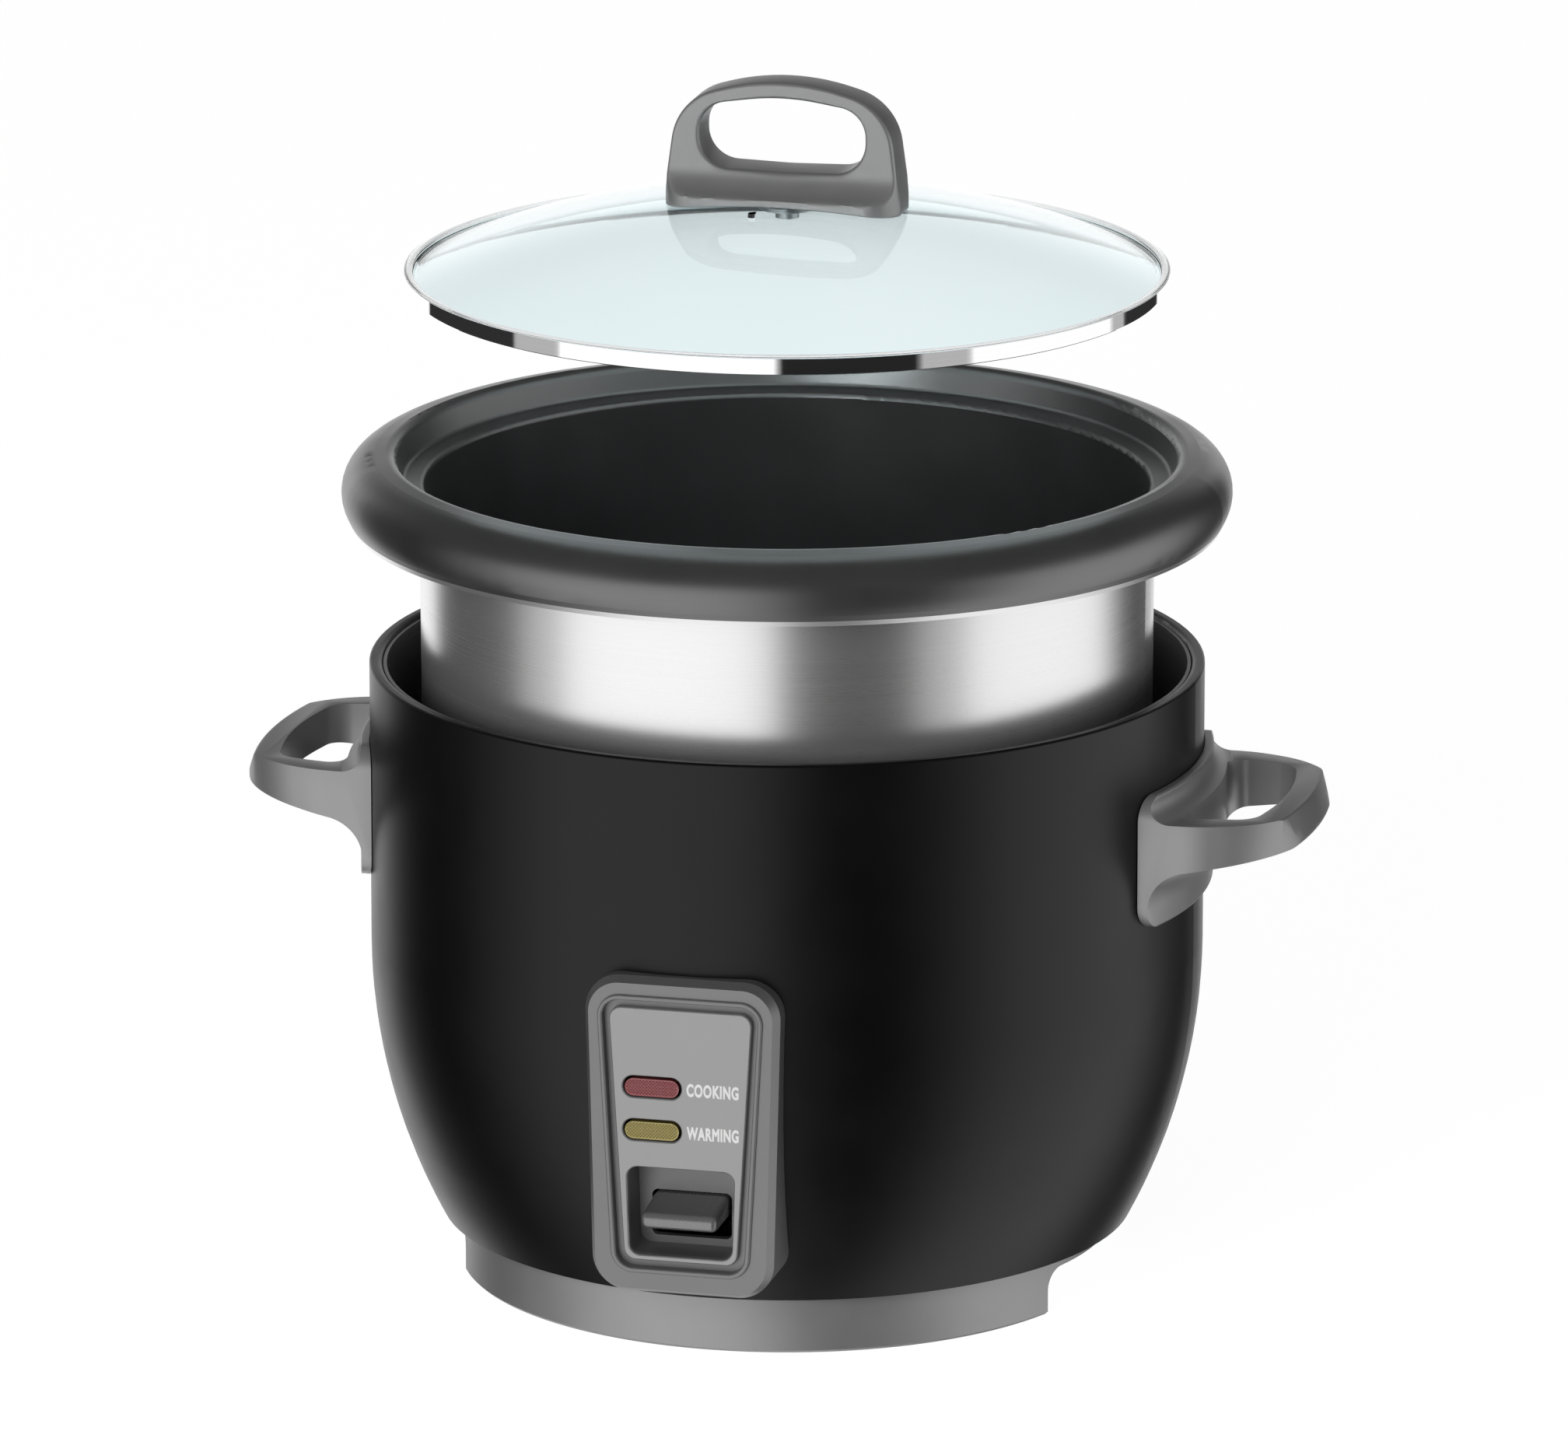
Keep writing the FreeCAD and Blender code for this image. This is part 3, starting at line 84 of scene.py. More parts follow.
class Graph:
    """Short ways to add and join the nodes of a material or a world."""

    def __init__(self, tree):
        self.tree = tree

    def add(self, kind, **settings):
        item = self.tree.nodes.new(kind)
        for name, setting in settings.items():
            setattr(item, name, setting)
        return item

    def join(self, source, target):
        self.tree.links.new(source, target)

    def math(self, operation, first, second=0.0):
        """Works on two values, each a number or a socket."""
        item = self.add("ShaderNodeMath", operation=operation)
        for socket, given in zip(item.inputs, (first, second)):
            if isinstance(given, (int, float)):
                socket.default_value = given
            else:
                self.join(given, socket)
        return item.outputs[0]

    def length(self, first, second):
        squares = [self.math("MULTIPLY", side, side) for side in (first, second)]
        return self.math("SQRT", self.math("ADD", *squares))

    def mingle(self, first, second, share):
        """Adds a share of the first value to the rest of the second."""
        rest = self.math("MULTIPLY", second, 1 - share)
        return self.math("ADD", self.math("MULTIPLY", first, share), rest)

    def parts(self, vector):
        item = self.add("ShaderNodeSeparateXYZ")
        self.join(vector, item.inputs[0])
        return item.outputs

    def span(self, factor, low, high, start=0.3, stop=0.7, **settings):
        """Maps start to stop onto low to high."""
        item = self.add("ShaderNodeMapRange", **settings)
        item.inputs["From Min"].default_value = start
        item.inputs["From Max"].default_value = stop
        item.inputs["To Min"].default_value = low
        item.inputs["To Max"].default_value = high
        self.join(factor, item.inputs["Value"])
        return item.outputs["Result"]

    def blend(self, factor, first, second):
        """Mixes two colours, each an RGB triple or a socket."""
        item = self.add("ShaderNodeMix", data_type="RGBA")
        self.join(factor, item.inputs[0])
        for socket, given in ((item.inputs[6], first), (item.inputs[7], second)):
            if isinstance(given, tuple):
                socket.default_value = (*given, 1)
            else:
                self.join(given, socket)
        return item.outputs[2]

    def weigh(self, factor, first, second):
        """Mixes two numbers, each a socket."""
        item = self.add("ShaderNodeMix", data_type="FLOAT")
        self.join(factor, item.inputs[0])
        self.join(first, item.inputs[2])
        self.join(second, item.inputs[3])
        return item.outputs[0]

    def backdrop(self):
        """One for what the camera sees straight or through glass, and zero for the light on the object."""
        path = self.add("ShaderNodeLightPath")
        return self.math("MAXIMUM", path.outputs["Is Camera Ray"], path.outputs["Is Transmission Ray"])

    def pick(self, factor, first, second):
        """Mixes two shaders."""
        item = self.add("ShaderNodeMixShader")
        self.join(factor, item.inputs[0])
        self.join(first, item.inputs[1])
        self.join(second, item.inputs[2])
        return item.outputs[0]


class Look(Graph):
    """A procedural material: one Principled shader with nodes that read the object's own coordinates."""

    def __init__(self, name):
        self.material = bpy.data.materials.new(name + "_finish")
        self.material.use_nodes = True
        super().__init__(self.material.node_tree)
        self.shader = self.tree.nodes["Principled BSDF"]
        self.place = self.add("ShaderNodeTexCoord").outputs["Object"]

    def fix(self, **values):
        """Sets plain values on the shader's own sockets."""
        for name, setting in values.items():
            self.shader.inputs[name.replace("_", " ")].default_value = setting
        return self

    def feed(self, socket, source):
        self.join(source, self.shader.inputs[socket])

    def noise(self, scale, detail=2.0, vector=None, roughness=0.5):
        item = self.add("ShaderNodeTexNoise")
        item.inputs["Scale"].default_value = scale
        item.inputs["Detail"].default_value = detail
        item.inputs["Roughness"].default_value = roughness
        self.join(vector or self.place, item.inputs["Vector"])
        return item.outputs["Fac"]

    def relief(self, height, depth, strength):
        item = self.add("ShaderNodeBump")
        item.inputs["Strength"].default_value = strength
        item.inputs["Distance"].default_value = depth
        self.join(height, item.inputs["Height"])
        return item.outputs["Normal"]

    def polar(self):
        """Radius and height about the cooker's axis, for turned and spun surfaces."""
        x, y, z = self.parts(self.place)
        return self.length(x, y), z

    def spun(self, scale):
        """Fine rings about the axis, as a lathe or a brush leaves them."""
        radius, height = self.polar()
        vector = self.add("ShaderNodeCombineXYZ")
        self.join(radius, vector.inputs[0])
        self.join(height, vector.inputs[1])
        return self.noise(scale, 3.0, vector.outputs[0], 0.6)


def grained(name, dark, light, rough, grain=2200.0, depth=0.00004, strength=0.5, mottle=45.0, **values):
    """Moulded or painted surface: a fine grain in relief over a faint slow mottle in colour and gloss."""
    look = Look(name)
    slow = look.noise(mottle, 3.0)
    fine = look.noise(grain, 2.0)
    look.feed("Base Color", look.blend(look.span(slow, 0.0, 1.0), dark, light))
    look.feed("Roughness", look.span(look.mingle(slow, fine, 0.6), *rough))
    look.feed("Normal", look.relief(fine, depth, strength))
    return look.fix(**values)


def turned(name, dark, light, rough, rings=1400.0, depth=0.00002, **values):
    """Metal with fine rings about the axis in colour, gloss and relief."""
    look = Look(name)
    ring = look.spun(rings)
    slow = look.noise(30.0, 3.0)
    look.feed("Base Color", look.blend(look.span(ring, 0.0, 1.0), dark, light))
    look.feed("Roughness", look.span(look.mingle(slow, ring, 0.5), *rough))
    look.feed("Normal", look.relief(ring, depth, 0.35))
    return look.fix(Metallic=1.0, **values)


def grey(share, tint=0.0):
    return (share, share, share * (1 + tint))


# Black stove paint of the shell
black_paint = grained("black_paint", grey(0.0016), grey(0.0026), (0.34, 0.4), 2600.0, 0.00002, 0.3,
                      Specular_IOR_Level=0.34)

# Moulded plastics and ink: the greys look like metallic paint
grey_plastic = grained("grey_plastic", grey(0.355), grey(0.39), (0.4, 0.48), depth=0.00002, Metallic=0.6)
frame_plastic = grained("frame_plastic", grey(0.235), grey(0.26), (0.4, 0.48), depth=0.00002, Metallic=0.6)
face_plastic = grained("face_plastic", grey(0.36), grey(0.385), (0.36, 0.44), depth=0.00002, Metallic=0.6)
paddle_plastic = grained("paddle_plastic", grey(0.23), grey(0.25), (0.24, 0.3), depth=0.00001, Metallic=0.5)
black_plastic = grained("black_plastic", grey(0.02), grey(0.03), (0.42, 0.52))
pale_plastic = grained("pale_plastic", (0.66, 0.63, 0.56), (0.75, 0.72, 0.65), (0.4, 0.5))
ferrite = grained("ferrite", grey(0.045), grey(0.07), (0.5, 0.65), 1500.0, Metallic=0.4)
white_ink = grained("white_ink", grey(0.93), grey(0.96), (0.45, 0.55), depth=0.00001)

# Metals
liner_metal = turned("liner_metal", grey(0.3), grey(0.36), (0.44, 0.54))
plate_steel = grained("plate_steel", grey(0.42, 0.02), grey(0.56, 0.02), (0.34, 0.46), 900.0, Metallic=1.0)
screw_steel = turned("screw_steel", grey(0.5), grey(0.64), (0.24, 0.34))
heater_alloy = turned("heater_alloy", grey(0.55), grey(0.68), (0.3, 0.42), 1800.0, 0.00005)
element_steel = grained("element_steel", (0.26, 0.24, 0.22), (0.36, 0.33, 0.31), (0.4, 0.55), Metallic=1.0)
sensor_alloy = turned("sensor_alloy", grey(0.66), grey(0.78), (0.22, 0.32))
spring_steel = grained("spring_steel", grey(0.44), grey(0.56), (0.2, 0.3), Metallic=1.0)
pin_brass = grained("pin_brass", (0.62, 0.46, 0.2), (0.76, 0.6, 0.3), (0.2, 0.3), Metallic=1.0)
band_chrome = turned("band_chrome", grey(0.84), grey(0.9), (0.03, 0.06), 2600.0, 0.000002)

# Pot: non-stick coat inside and on the rim, bare satin metal on the outer wall and under the floor
POT_CORNER = 0.018
POT_WALL = 0.0015
OUTER_SHARE = 0.6
WALL_TOP = 0.2
RIM_REACH = 0.01
pot_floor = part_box("inner_pot")[0].z
pot_points = [(math.hypot(v.co.x, v.co.y), v.co.z) for v in nodes["inner_pot"].data.vertices]
pot_radius = max(radius for radius, height in pot_points if height < WALL_TOP)
rim_low = min(height for radius, height in pot_points if radius > pot_radius + RIM_REACH)


def pot_finish():
    look = Look("pot_coat")
    radius, height = look.polar()
    beyond = look.math("MAXIMUM", look.math("SUBTRACT", radius, pot_radius - POT_CORNER), 0.0)
    below = look.math("MAXIMUM", look.math("SUBTRACT", pot_floor + POT_CORNER, height), 0.0)
    outer = look.math("GREATER_THAN", look.length(beyond, below), POT_CORNER - POT_WALL * OUTER_SHARE)
    under_rim = look.math("LESS_THAN", height, rim_low + POT_WALL)
    bare = look.math("MULTIPLY", outer, under_rim)
    ring = look.spun(3200.0)
    slow = look.noise(40.0, 3.0)
    fine = look.noise(2600.0, 2.0)
    coat = look.blend(look.span(slow, 0.0, 1.0), grey(0.18), grey(0.2))
    metal = look.blend(look.span(ring, 0.0, 1.0), grey(0.82), grey(0.86))
    look.feed("Base Color", look.blend(bare, coat, metal))
    look.feed("Metallic", look.span(bare, 0.9, 0.88, 0.0, 1.0))
    look.feed("Roughness", look.weigh(bare, look.span(slow, 0.33, 0.39), look.span(ring, 0.27, 0.3)))
    look.feed("Normal", look.relief(look.weigh(bare, fine, ring), 0.00001, 0.2))
    return look


pot_coat = pot_finish()


def glass_finish(name, tint, clear, rough):
    """Clear glass with a faint uneven polish."""
    look = Look(name)
    slow = look.noise(18.0, 2.0)
    look.feed("Base Color", look.blend(look.span(slow, 0.0, 1.0), tint, clear))
    look.feed("Roughness", look.span(slow, *rough))
    return look.fix(Transmission_Weight=1.0, IOR=1.45)


dome_glass = glass_finish("dome_glass", (0.82, 0.935, 0.955), (0.835, 0.942, 0.96), (0.0, 0.02))
edge_glass = glass_finish("edge_glass", (0.94, 0.965, 0.97), (0.96, 0.975, 0.98), (0.03, 0.08))
lamp_glass = glass_finish("lamp_glass", (0.9, 0.88, 0.84), (0.93, 0.9, 0.87), (0.0, 0.05))

# Lenses, whose fronts are level
HATCH_DEPTH = 0.00035
lens_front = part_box("cook_lens")[0].y


def lens_finish(name, dark, light):
    """Clear coloured plastic, with painted shade that darkens its colour in the valleys of its cross-hatch.
    """
    look = Look(name)
    fine = look.noise(3000.0, 2.0)
    # Painted shade: the colour shifts to the dark colour the further back the face lies in the hatch
    valley_shade = look.span(look.parts(look.place)[1], 0.0, 1.0, lens_front, lens_front + HATCH_DEPTH)
    look.feed("Base Color", look.blend(valley_shade, light, dark))
    look.feed("Roughness", look.span(fine, 0.2, 0.28))
    look.feed("Normal", look.relief(fine, 0.00001, 0.3))
    return look.fix(Coat_Weight=0.4, Coat_Roughness=0.12)


red_lens = lens_finish("red_lens", (0.15, 0.034, 0.037), (0.42, 0.125, 0.13))
amber_lens = lens_finish("amber_lens", (0.15, 0.115, 0.03), (0.52, 0.44, 0.16))

FINISHES = {
    "black_paint": black_paint, "liner_metal": liner_metal, "grey_plastic": grey_plastic,
    "plate_steel": plate_steel, "screw_steel": screw_steel, "heater_alloy": heater_alloy,
    "element_steel": element_steel, "sensor_alloy": sensor_alloy, "ferrite": ferrite,
    "spring_steel": spring_steel, "paddle_plastic": paddle_plastic, "face_plastic": face_plastic,
    "red_lens": red_lens, "amber_lens": amber_lens, "lamp_glass": lamp_glass,
    "black_plastic": black_plastic, "pale_plastic": pale_plastic, "pin_brass": pin_brass,
    "pot_coat": pot_coat, "dome_glass": dome_glass, "band_chrome": band_chrome,
}


def coat_nodes():
    """Gives every CAD node the finish named by its material slot, and the panel's housing a darker grey."""
    for item in nodes.values():
        slot = item.data.materials[0].name
        item.data.materials[0] = FINISHES[slot].material
    nodes["control_panel"].data.materials[0] = frame_plastic.material


coat_nodes()


# Pieces that show a finer form than their CAD nodes
def placed(name, data):
    item = bpy.data.objects.new(name, data)
    bpy.context.scene.collection.objects.link(item)
    return item


def shown(name, form, look, body, smooth=40.0):
    """Turns a bmesh into a piece of the object that moves with a CAD body."""
    mesh = bpy.data.meshes.new(name)
    form.to_mesh(mesh)
    form.free()
    mesh.materials.append(look.material)
    mesh.polygons.foreach_set("use_smooth", [True] * len(mesh.polygons))
    mesh.set_sharp_from_angle(angle=math.radians(smooth))
    piece = placed(name, mesh)
    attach(piece, body)
    return piece


# Side handles with rounded edges
GRIP_EDGE = 0.0007
GRIP_STEPS = 3
GRIP_WELD = 0.000002
FLAT_TURN = math.radians(0.4)
SHARP_TURN = math.radians(32)


def softened(name, look, body):
    """A copy of a CAD node with its sharp edges rounded, in the node's place."""
    form = bmesh.new()
    form.from_mesh(nodes[name].data)
    bmesh.ops.remove_doubles(form, verts=form.verts, dist=GRIP_WELD)
    bmesh.ops.dissolve_limit(form, angle_limit=FLAT_TURN, verts=form.verts, edges=form.edges)
    sharp = [edge for edge in form.edges if edge.is_manifold and edge.calc_face_angle() > SHARP_TURN]
    bmesh.ops.bevel(form, geom=sharp, offset=GRIP_EDGE, segments=GRIP_STEPS, profile=0.5, affect="EDGES",
                    clamp_overlap=True)
    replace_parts(shown(name + "_soft", form, look, body), name)


for side in ("left", "right"):
    softened(f"side_handle_{side}", grey_plastic, "body")

# Lenses with a cross-hatched face
LENS_GAP = 0.0004
LENS_DEPTH = 0.003
HATCH_PITCH = 0.00095
HATCH_BORDER = 0.0005
LENS_COLUMNS = 120
LENS_ROWS = 40


def ridge(place):
    """Saw-tooth between 0 and 1 with a period of one hatch pitch."""
    share = place / HATCH_PITCH % 1
    return abs(2 * share - 1)


def hatched_lens(name, look):
    low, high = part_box(name)
    middle = (low + high) / 2
    radius = (high.z - low.z) / 2 - LENS_GAP
    straight = (high.x - low.x) / 2 - LENS_GAP - radius
    form = bmesh.new()
    rows = []
    for j in range(LENS_ROWS + 1):
        z = radius * math.sin(math.pi * (j / LENS_ROWS - 0.5))
        reach = straight + math.sqrt(max(radius ** 2 - z ** 2, 0))
        row = []
        for i in range(LENS_COLUMNS + 1):
            x = reach * (2 * i / LENS_COLUMNS - 1)
            inset = radius - math.hypot(max(abs(x) - straight, 0), z)
            rise = min(inset / HATCH_BORDER, 1)
            valley = 1 - (ridge(x + z) + ridge(x - z)) / 2
            row.append(form.verts.new((middle.x + x, low.y + HATCH_DEPTH * rise * valley, middle.z + z)))
        rows.append(row)
    for below, above in zip(rows, rows[1:]):
        for i in range(LENS_COLUMNS):
            form.faces.new((below[i], below[i + 1], above[i + 1], above[i]))
    rim = [edge for edge in form.edges if edge.is_boundary]
    wall = bmesh.ops.extrude_edge_only(form, edges=rim)["geom"]
    for vert in wall:
        if isinstance(vert, bmesh.types.BMVert):
            vert.co.y = low.y + LENS_DEPTH
    bmesh.ops.holes_fill(form, edges=[edge for edge in form.edges if edge.is_boundary], sides=0)
    bmesh.ops.recalc_face_normals(form, faces=form.faces)
    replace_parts(shown(name + "_hatched", form, look, "body", 20.0), name)


hatched_lens("cook_lens", red_lens)
hatched_lens("warm_lens", amber_lens)

# Words beside the lenses: the weight and spacing are in the font's own units
WORD_LEFT = 0.0018
WORD_RIGHT = 0.0169
WORD_HEIGHT = 0.0039
WORD_PROUD = 0.00008
WORD_WELD = 0.000001
WORD_WEIGHT = 0.045
WORD_SPACING = 1.12


def word(text, lens):
    """Printed bold capitals, level with a lens, on the face plate."""
    curve = bpy.data.curves.new(text, "FONT")
    curve.body = text
    curve.space_character = WORD_SPACING
    curve.bevel_depth = WORD_WEIGHT
    curve.bevel_resolution = 0
    source = placed(text, curve)
    graph = bpy.context.evaluated_depsgraph_get()
    mesh = bpy.data.meshes.new_from_object(source.evaluated_get(graph))
    form = bmesh.new()
    form.from_mesh(mesh)
    bpy.data.objects.remove(source)
    bpy.data.meshes.remove(mesh)
    low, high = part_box(lens)
    middle = (low.z + high.z) / 2
    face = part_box("panel_face")[0].y
    xs = [vert.co.x for vert in form.verts]
    ys = [vert.co.y for vert in form.verts]
    left, right, foot, head = min(xs), max(xs), min(ys), max(ys)
    for vert in form.verts:
        x, y, z = vert.co
        vert.co = (
            WORD_LEFT + (x - left) / (right - left) * (WORD_RIGHT - WORD_LEFT),
            face - WORD_PROUD * (1 + z / WORD_WEIGHT) / 2,
            middle + ((y - foot) / (head - foot) - 0.5) * WORD_HEIGHT,
        )
    bmesh.ops.remove_doubles(form, verts=form.verts, dist=WORD_WELD)
    bmesh.ops.recalc_face_normals(form, faces=form.faces)
    shown(text.lower() + "_word", form, white_ink, "body", 30.0)


word("COOKING", "cook_lens")
word("WARMING", "warm_lens")

# Lid rim: a sheet-metal band with a ground glass lip above it, turned finely about the axis
# The band's line is in millimetres, out from the lid's widest edge and up from its foot
TURN_STEPS = 288
BAND_LINE = [
    (-2.35, 0), (-2.1, 0.25), (-2.1, 4.85), (-1.3, 4.95), (-1.1, 5.1),
    (-2.5, 5.1), (-2.5, 0.45), (-4.4, 0.45), (-4.4, 0),
]
LIP_HALF = (0.0012, 0.00055)
LIP_STEPS = 24

# Glass dome with a hole for the handle's screw and a steam hole
GLASS_FOOT = 0.0049
GLASS_INSET = 0.00265
GLASS_RISE = 0.0206
GLASS_THICK = 0.004
GLASS_HOLE = 0.0032
GLASS_SEAT = 0.0005
GLASS_STEPS = 48
STEAM_PLACE = (-0.006, -0.017)
STEAM_RADIUS = 0.0012
DRILL_STEPS = 48
DRILL_LENGTH = 0.04

band_low, band_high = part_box("lid_band")
flange = band_high.x
lid_low = band_low.z
glass_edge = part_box("lid_glass")[1].x
dome_radius = (glass_edge ** 2 + GLASS_RISE ** 2) / 2 / GLASS_RISE
dome_top = lid_low + GLASS_FOOT + GLASS_RISE
dome_base = dome_top - dome_radius


def skinned(form, loops):
    """Joins each closed loop of points to the next, and the last to the first."""
    for loop, after in zip(loops, loops[1:] + loops[:1]):
        for k in range(len(loop)):
            form.faces.new((loop[k - 1], after[k - 1], after[k], loop[k]))
    bmesh.ops.recalc_face_normals(form, faces=form.faces)
    return form


def lathe(line):
    """Turns a closed line of radius and height points about the axis."""
    form = bmesh.new()
    rings = []
    for i in range(TURN_STEPS):
        turn = 2 * math.pi * i / TURN_STEPS
        rings.append([form.verts.new((r * math.cos(turn), r * math.sin(turn), z)) for r, z in line])
    return skinned(form, rings)


def pierced(form, place, height, radius):
    """Cuts an upright round hole through a form."""
    drill = bmesh.new()
    bmesh.ops.create_cone(drill, cap_ends=True, segments=DRILL_STEPS, radius1=radius, radius2=radius,
                          depth=DRILL_LENGTH, matrix=Matrix.Translation((*place, height)))
    pair = []
    for given in (form, drill):
        mesh = bpy.data.meshes.new("blank")
        given.to_mesh(mesh)
        given.free()
        pair.append(placed("blank", mesh))
    pair[0].modifiers.new("hole", "BOOLEAN").object = pair[1]
    result = bmesh.new()
    result.from_object(pair[0], bpy.context.evaluated_depsgraph_get())
    for item in pair:
        bpy.data.objects.remove(item)
    return result


def lid_rim():
    band = lathe([(flange + r / MM, lid_low + z / MM) for r, z in BAND_LINE])
    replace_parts(shown("lid_band_turned", band, band_chrome, "lid", 25.0), "lid_band")
    across, up = LIP_HALF
    lip = []
    for k in range(LIP_STEPS):
        turn = 2 * math.pi * k / LIP_STEPS
        lip.append((flange - across + across * math.cos(turn), band_high.z - up + up * math.sin(turn)))
    shown("lid_lip", lathe(lip), edge_glass, "lid")


def lid_dome():
    inner = dome_radius - GLASS_THICK
    edge = flange - GLASS_INSET
    seat = lid_low + GLASS_SEAT
    seat_radius = min(edge, math.sqrt(inner ** 2 - (seat - dome_base) ** 2))
    line = []
    for k in range(GLASS_STEPS + 1):
        r = GLASS_HOLE + (edge - GLASS_HOLE) * k / GLASS_STEPS
        line.append((r, dome_base + math.sqrt(dome_radius ** 2 - r ** 2)))
    line.append((edge, seat))
    for k in range(GLASS_STEPS + 1):
        r = seat_radius + (GLASS_HOLE - seat_radius) * k / GLASS_STEPS
        line.append((r, dome_base + math.sqrt(inner ** 2 - r ** 2)))
    dome = pierced(lathe(line), STEAM_PLACE, dome_top, STEAM_RADIUS)
    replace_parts(shown("lid_dome", dome, dome_glass, "lid", 30.0), "lid_glass")


lid_rim()
lid_dome()

# Lid handle with a soft foot and an arched grip hole, in millimetres from the top of the dome
# A point of its lines is a place across, a height and the radius of the corner there
KNOB_HALF = 34.6
KNOB_DRAFT = 0.2
KNOB_TOP = 37.8
KNOB_SIDE = [(KNOB_HALF - KNOB_DRAFT, 2.0, 0), (31.0, 28.8, 17.0), (0, KNOB_TOP, 65.0)]
HOLE_SIDE = [(24.4, 9.9, 9.0), (24.2, 27.6, 8.6), (0, 31.2, 70.0)]
HOLE_FOOT = (0, 9.3, 90.0)
HOLE_MIDDLE = Vector((0, 19.5))
KNOB_LIFT = 0.2
WAIST_HALF = 7.5
WAIST_FOOT = 1.8
WAIST_LEAN = 1.75 / KNOB_TOP
FLARE_ROUND = 9.0
FLARE_HEIGHT = 10.8
FOOT_HALF = 13.0
FOOT_CORNER = 10.0
FOOT_BLEND = 1.0
FOOT_STEPS = 24
FOOT_EDGE = 0.3
KNOB_EDGE = 1.1
EDGE_FROM = 1.5
EDGE_FADE = 4
EDGE_STEPS = 4
KNOB_TURNS = 360
KNOB_SPANS = 14
FILLET_STEPS = 14
STRAIGHT_HALF = 1.57
PARALLEL = 1e-9
LINE_SLACK = 1e-6


def mirrored(points):
    """A line from its right-hand side to its left, from the points of the right-hand side."""
    return points + [(-x, z, radius) for x, z, radius in reversed(points) if x]


def filleted(points):
    """A closed line with its corners rounded, from points with a radius each."""
    line = []
    for before, (x, z, radius), after in zip(points[-1:] + points, points, points[1:] + points[:1]):
        corner = Vector((x, z))
        back = (Vector(before[:2]) - corner).normalized()
        on = (Vector(after[:2]) - corner).normalized()
        half = math.acos(max(-1, min(1, back.dot(on)))) / 2
        if not radius or half > STRAIGHT_HALF:
            line.append(corner)
            continue
        middle = corner + (back + on).normalized() * radius / math.sin(half)
        start = corner + back * radius / math.tan(half) - middle
        stop = corner + on * radius / math.tan(half) - middle
        for k in range(FILLET_STEPS + 1):
            line.append(middle + start.slerp(stop, k / FILLET_STEPS) * radius)
    return line


def struck(line, angle):
    """Point where a ray from the middle of the grip hole meets a closed line round it."""
    way = Vector((math.cos(angle), math.sin(angle)))
    for first, second in zip(line, line[1:] + line[:1]):
        side = second - first
        cross = way.x * side.y - way.y * side.x
        if abs(cross) < PARALLEL:
            continue
        gap = first - HOLE_MIDDLE
        reach = (gap.x * side.y - gap.y * side.x) / cross
        share = (gap.x * way.y - gap.y * way.x) / cross
        if reach > 0 and -LINE_SLACK <= share <= 1 + LINE_SLACK:
            return HOLE_MIDDLE + way * reach
    raise ValueError("the line is open")


def knob_depth(x, z):
    """Half the handle's thickness: leaning faces over a concave flare and a foot with round ends."""
    depth = WAIST_HALF - (max(z, FLARE_HEIGHT) - WAIST_FOOT) * WAIST_LEAN
    sunk = min(max(FLARE_HEIGHT - z, 0), FLARE_ROUND)
    depth += FLARE_ROUND - math.sqrt(FLARE_ROUND ** 2 - sunk ** 2)
    past = max(abs(x) - (KNOB_HALF - FOOT_CORNER), 0)
    limit = FOOT_HALF - FOOT_CORNER + math.sqrt(max(FOOT_CORNER ** 2 - past ** 2, 0))
    spare = max(FOOT_BLEND - abs(depth - limit), 0) / FOOT_BLEND
    return min(depth, limit) - spare ** 2 * FOOT_BLEND / 4


def knob_loop(start, stop):
    """Points round the handle's section from the grip hole, at start, to the outside, at stop."""
    width = (stop - start).length
    edge = FOOT_EDGE + (KNOB_EDGE - FOOT_EDGE) * min(max((stop.y - EDGE_FROM) / EDGE_FADE, 0), 1)
    steps = [1 - math.cos(k * math.pi / 2 / EDGE_STEPS) for k in range(EDGE_STEPS + 1)]
    plain = width - KNOB_EDGE - edge
    insets = [KNOB_EDGE * step for step in steps]
    insets += [KNOB_EDGE + plain * k / KNOB_SPANS for k in range(1, KNOB_SPANS)]
    insets += [width - edge * step for step in reversed(steps)]
    back = []
    for inset in insets:
        x, z = start.lerp(stop, inset / width)
        round_in = max(KNOB_EDGE - inset, 0)
        round_out = max(edge - width + inset, 0)
        y = knob_depth(x, z) - KNOB_EDGE + math.sqrt(KNOB_EDGE ** 2 - round_in ** 2)
        y -= edge - math.sqrt(max(edge ** 2 - round_out ** 2, 0))
        back.append((x, y, z))
    return [(x, -y, z) for x, y, z in back] + back[::-1]


def lid_grip():
    foot = []
    for k in range(FOOT_STEPS + 1):
        x = -KNOB_HALF + 2 * KNOB_HALF * k / FOOT_STEPS
        foot.append((x, KNOB_LIFT - x * x / (2 * MM) / dome_radius, 0))
    outer = filleted(foot + mirrored(KNOB_SIDE))
    inner = filleted(mirrored(HOLE_SIDE) + [HOLE_FOOT])
    form = bmesh.new()
    loops = []
    for i in range(KNOB_TURNS):
        angle = 2 * math.pi * i / KNOB_TURNS
        loop = knob_loop(struck(inner, angle), struck(outer, angle))
        loops.append([form.verts.new((x / MM, y / MM, dome_top + z / MM)) for x, y, z in loop])
    grip = skinned(form, loops)
    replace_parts(shown("lid_grip", grip, grey_plastic, "lid", 50.0), "lid_handle")


lid_grip()


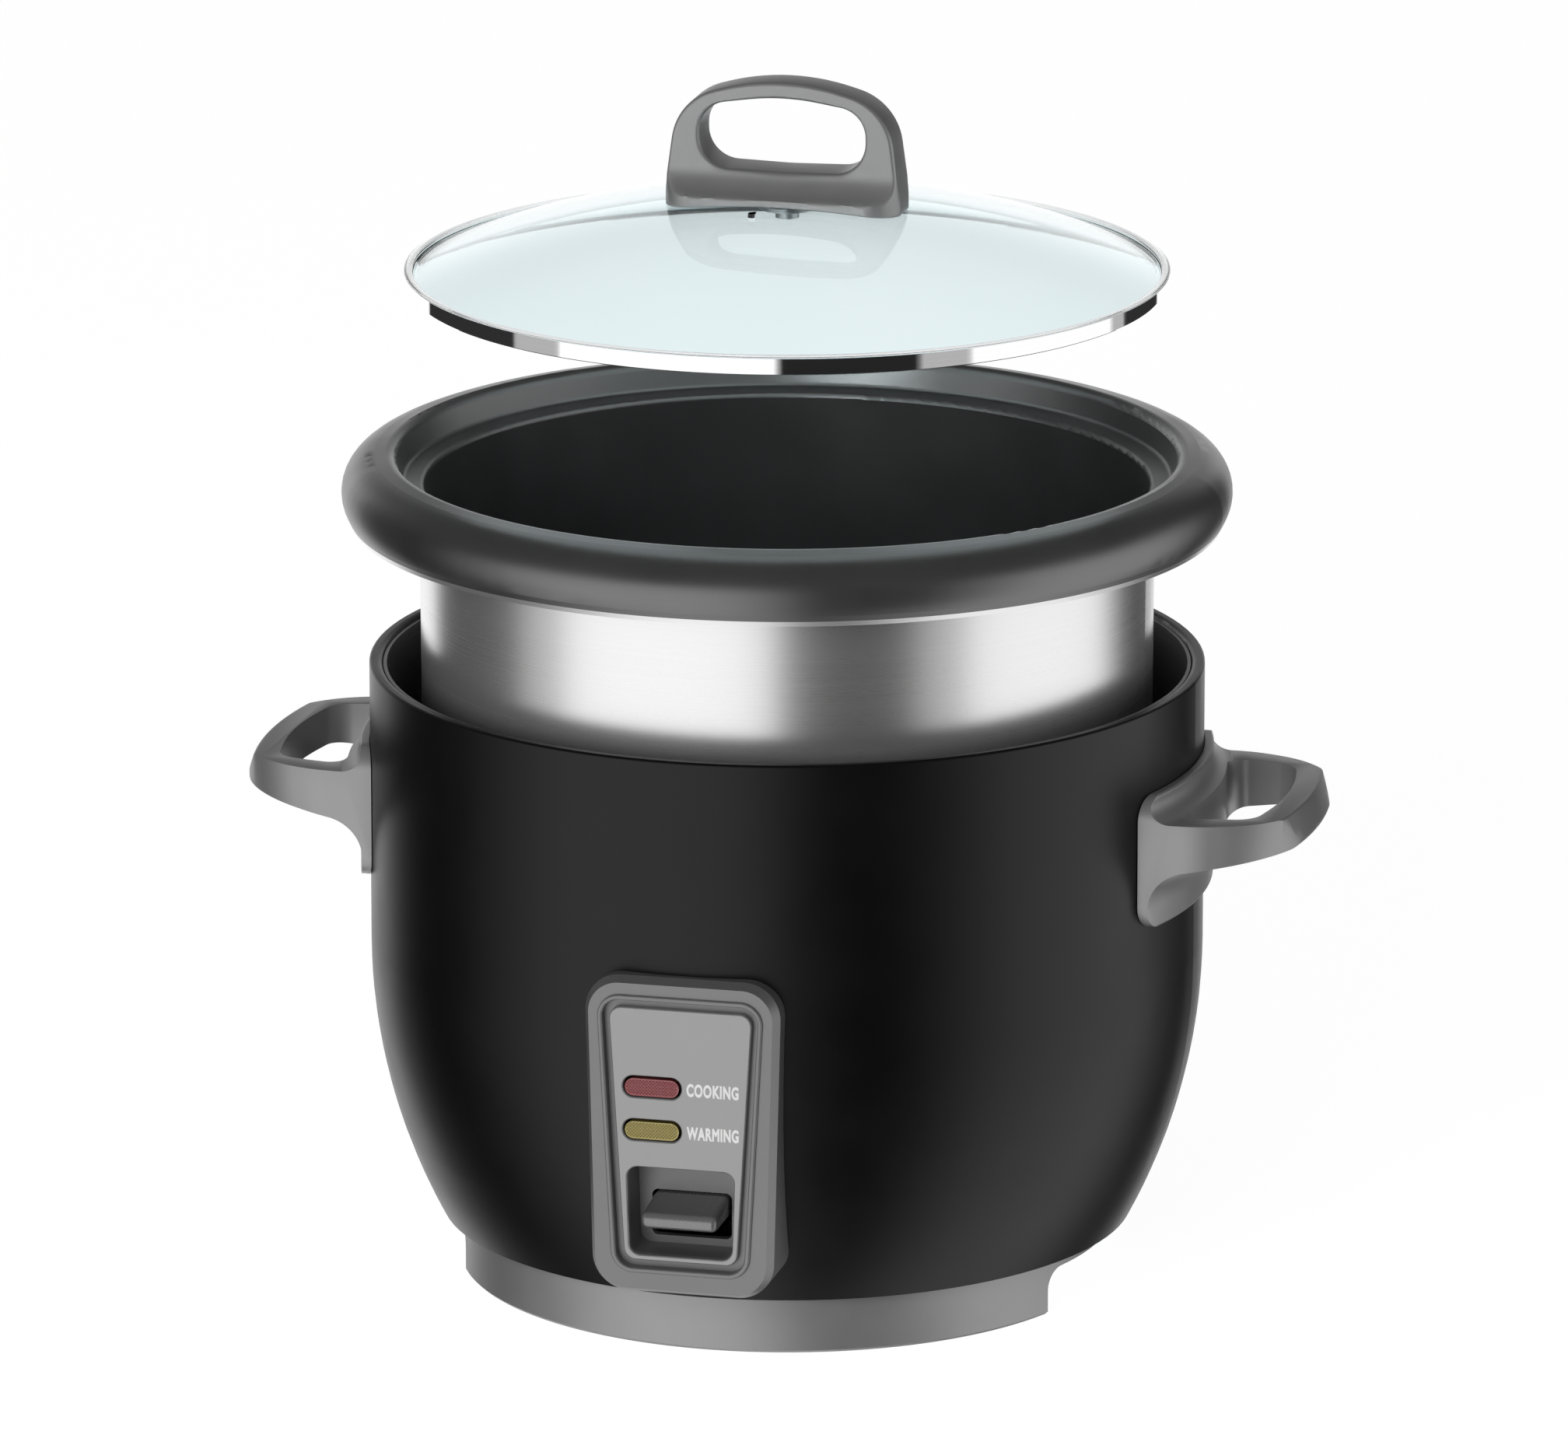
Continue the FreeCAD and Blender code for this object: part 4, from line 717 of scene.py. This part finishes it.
# Studio
def studio_world():
    """Bright and dark panels round the object, dim overhead, with white for the camera and through glass."""
    world = bpy.data.worlds.new("studio")
    world.use_nodes = True
    graph = Graph(world.node_tree)
    graph.tree.nodes.clear()
    x, y, z = graph.parts(graph.add("ShaderNodeTexCoord").outputs["Generated"])
    ahead, aside = [
        graph.math("ADD", graph.math("MULTIPLY", x, way.x), graph.math("MULTIPLY", y, way.y))
        for way in (TO_CAMERA, TO_RIGHT)
    ]
    turn = graph.math("DIVIDE", graph.math("ARCTAN2", aside, ahead), 2 * math.pi)
    ramp = graph.add("ShaderNodeValToRGB")
    graph.join(graph.math("ADD", turn, 0.5), ramp.inputs["Fac"])
    stops = []
    for before, (angle, light) in zip(LIGHTS[-1:] + LIGHTS, LIGHTS):
        share = (angle / 360 + 0.5) % 1
        stops.append((share - LIGHT_EDGE, before[1]))
        stops.append((share + LIGHT_EDGE, light))
    stops.sort()
    panels = ramp.color_ramp
    panels.interpolation = "LINEAR"
    while len(panels.elements) < len(stops):
        panels.elements.new(0.5)
    for item, (share, light) in zip(panels.elements, stops):
        item.position = share
        item.color = (*grey(light), 1)
    rise = graph.span(z, 0.0, 1.0, OVERHEAD_FROM, OVERHEAD_FULL, interpolation_type="SMOOTHSTEP")
    lit = graph.add("ShaderNodeBackground")
    graph.join(graph.blend(rise, ramp.outputs["Color"], grey(OVERHEAD_LIGHT)), lit.inputs["Color"])
    white = graph.add("ShaderNodeBackground")
    white.inputs["Color"].default_value = (1, 1, 1, 1)
    surface = graph.pick(graph.backdrop(), lit.outputs[0], white.outputs[0])
    graph.join(surface, graph.add("ShaderNodeOutputWorld").inputs["Surface"])
    bpy.context.scene.world = world


def studio_floor():
    """Wide pale floor: white where the camera or glass sees it, with the object's soft shadow on it."""
    mesh = bpy.data.meshes.new("floor")
    corners = [(x * FLOOR_HALF, y * FLOOR_HALF, 0) for x, y in ((-1, -1), (1, -1), (1, 1), (-1, 1))]
    mesh.from_pydata(corners, [], [(0, 1, 2, 3)])
    floor = placed("floor", mesh)
    look = Look("floor_pale")
    look.feed("Base Color", look.blend(look.noise(6.0), grey(0.8), grey(0.82)))
    look.fix(Roughness=0.9, Specular_IOR_Level=0.0)
    glow = look.add("ShaderNodeEmission")
    glow.inputs["Strength"].default_value = FLOOR_LIGHT
    share = look.math("MULTIPLY", look.backdrop(), FLOOR_GLOW)
    output = look.tree.nodes["Material Output"]
    look.join(look.pick(share, look.shader.outputs[0], glow.outputs[0]), output.inputs["Surface"])
    mesh.materials.append(look.material)
    floor.visible_glossy = False


def aimed(item, outward, distance):
    """Turns a lamp or camera to look at the target along a line."""
    item.location = TARGET + outward * distance
    item.rotation_euler = (-outward).to_track_quat("-Z", "Y").to_euler()


def studio_lamp():
    """Wide soft lamp in front that shines on the pale plastics and leaves the reflections to the world."""
    data = bpy.data.lights.new("front_lamp", "AREA")
    data.shape = "DISK"
    data.size = LAMP_SIZE
    data.energy = LAMP_POWER
    lamp = placed("front_lamp", data)
    level = TO_CAMERA * math.cos(LAMP_TURN) + TO_RIGHT * math.sin(LAMP_TURN)
    aimed(lamp, level * math.cos(LAMP_RISE) + Vector((0, 0, math.sin(LAMP_RISE))), LAMP_DISTANCE)
    lamp.visible_glossy = False


def photo_camera():
    """Camera of the photograph, moved aside to set the cooker's axis on its own column of pixels."""
    data = bpy.data.cameras.new("photo_camera")
    data.sensor_fit = "HORIZONTAL"
    data.sensor_width = SENSOR_WIDTH
    data.lens = SENSOR_WIDTH * FOCAL_PIXELS / IMAGE_WIDTH
    data.clip_end = 100
    camera = placed("photo_camera", data)
    aimed(camera, TO_CAMERA * math.cos(ELEVATION) + Vector((0, 0, math.sin(ELEVATION))), DISTANCE)
    camera.location += TO_RIGHT * (IMAGE_WIDTH / 2 - AXIS_PIXEL) * DISTANCE / FOCAL_PIXELS
    bpy.context.scene.camera = camera


studio_world()
studio_floor()
studio_lamp()
photo_camera()
bpy.context.scene.view_settings.view_transform = "Standard"
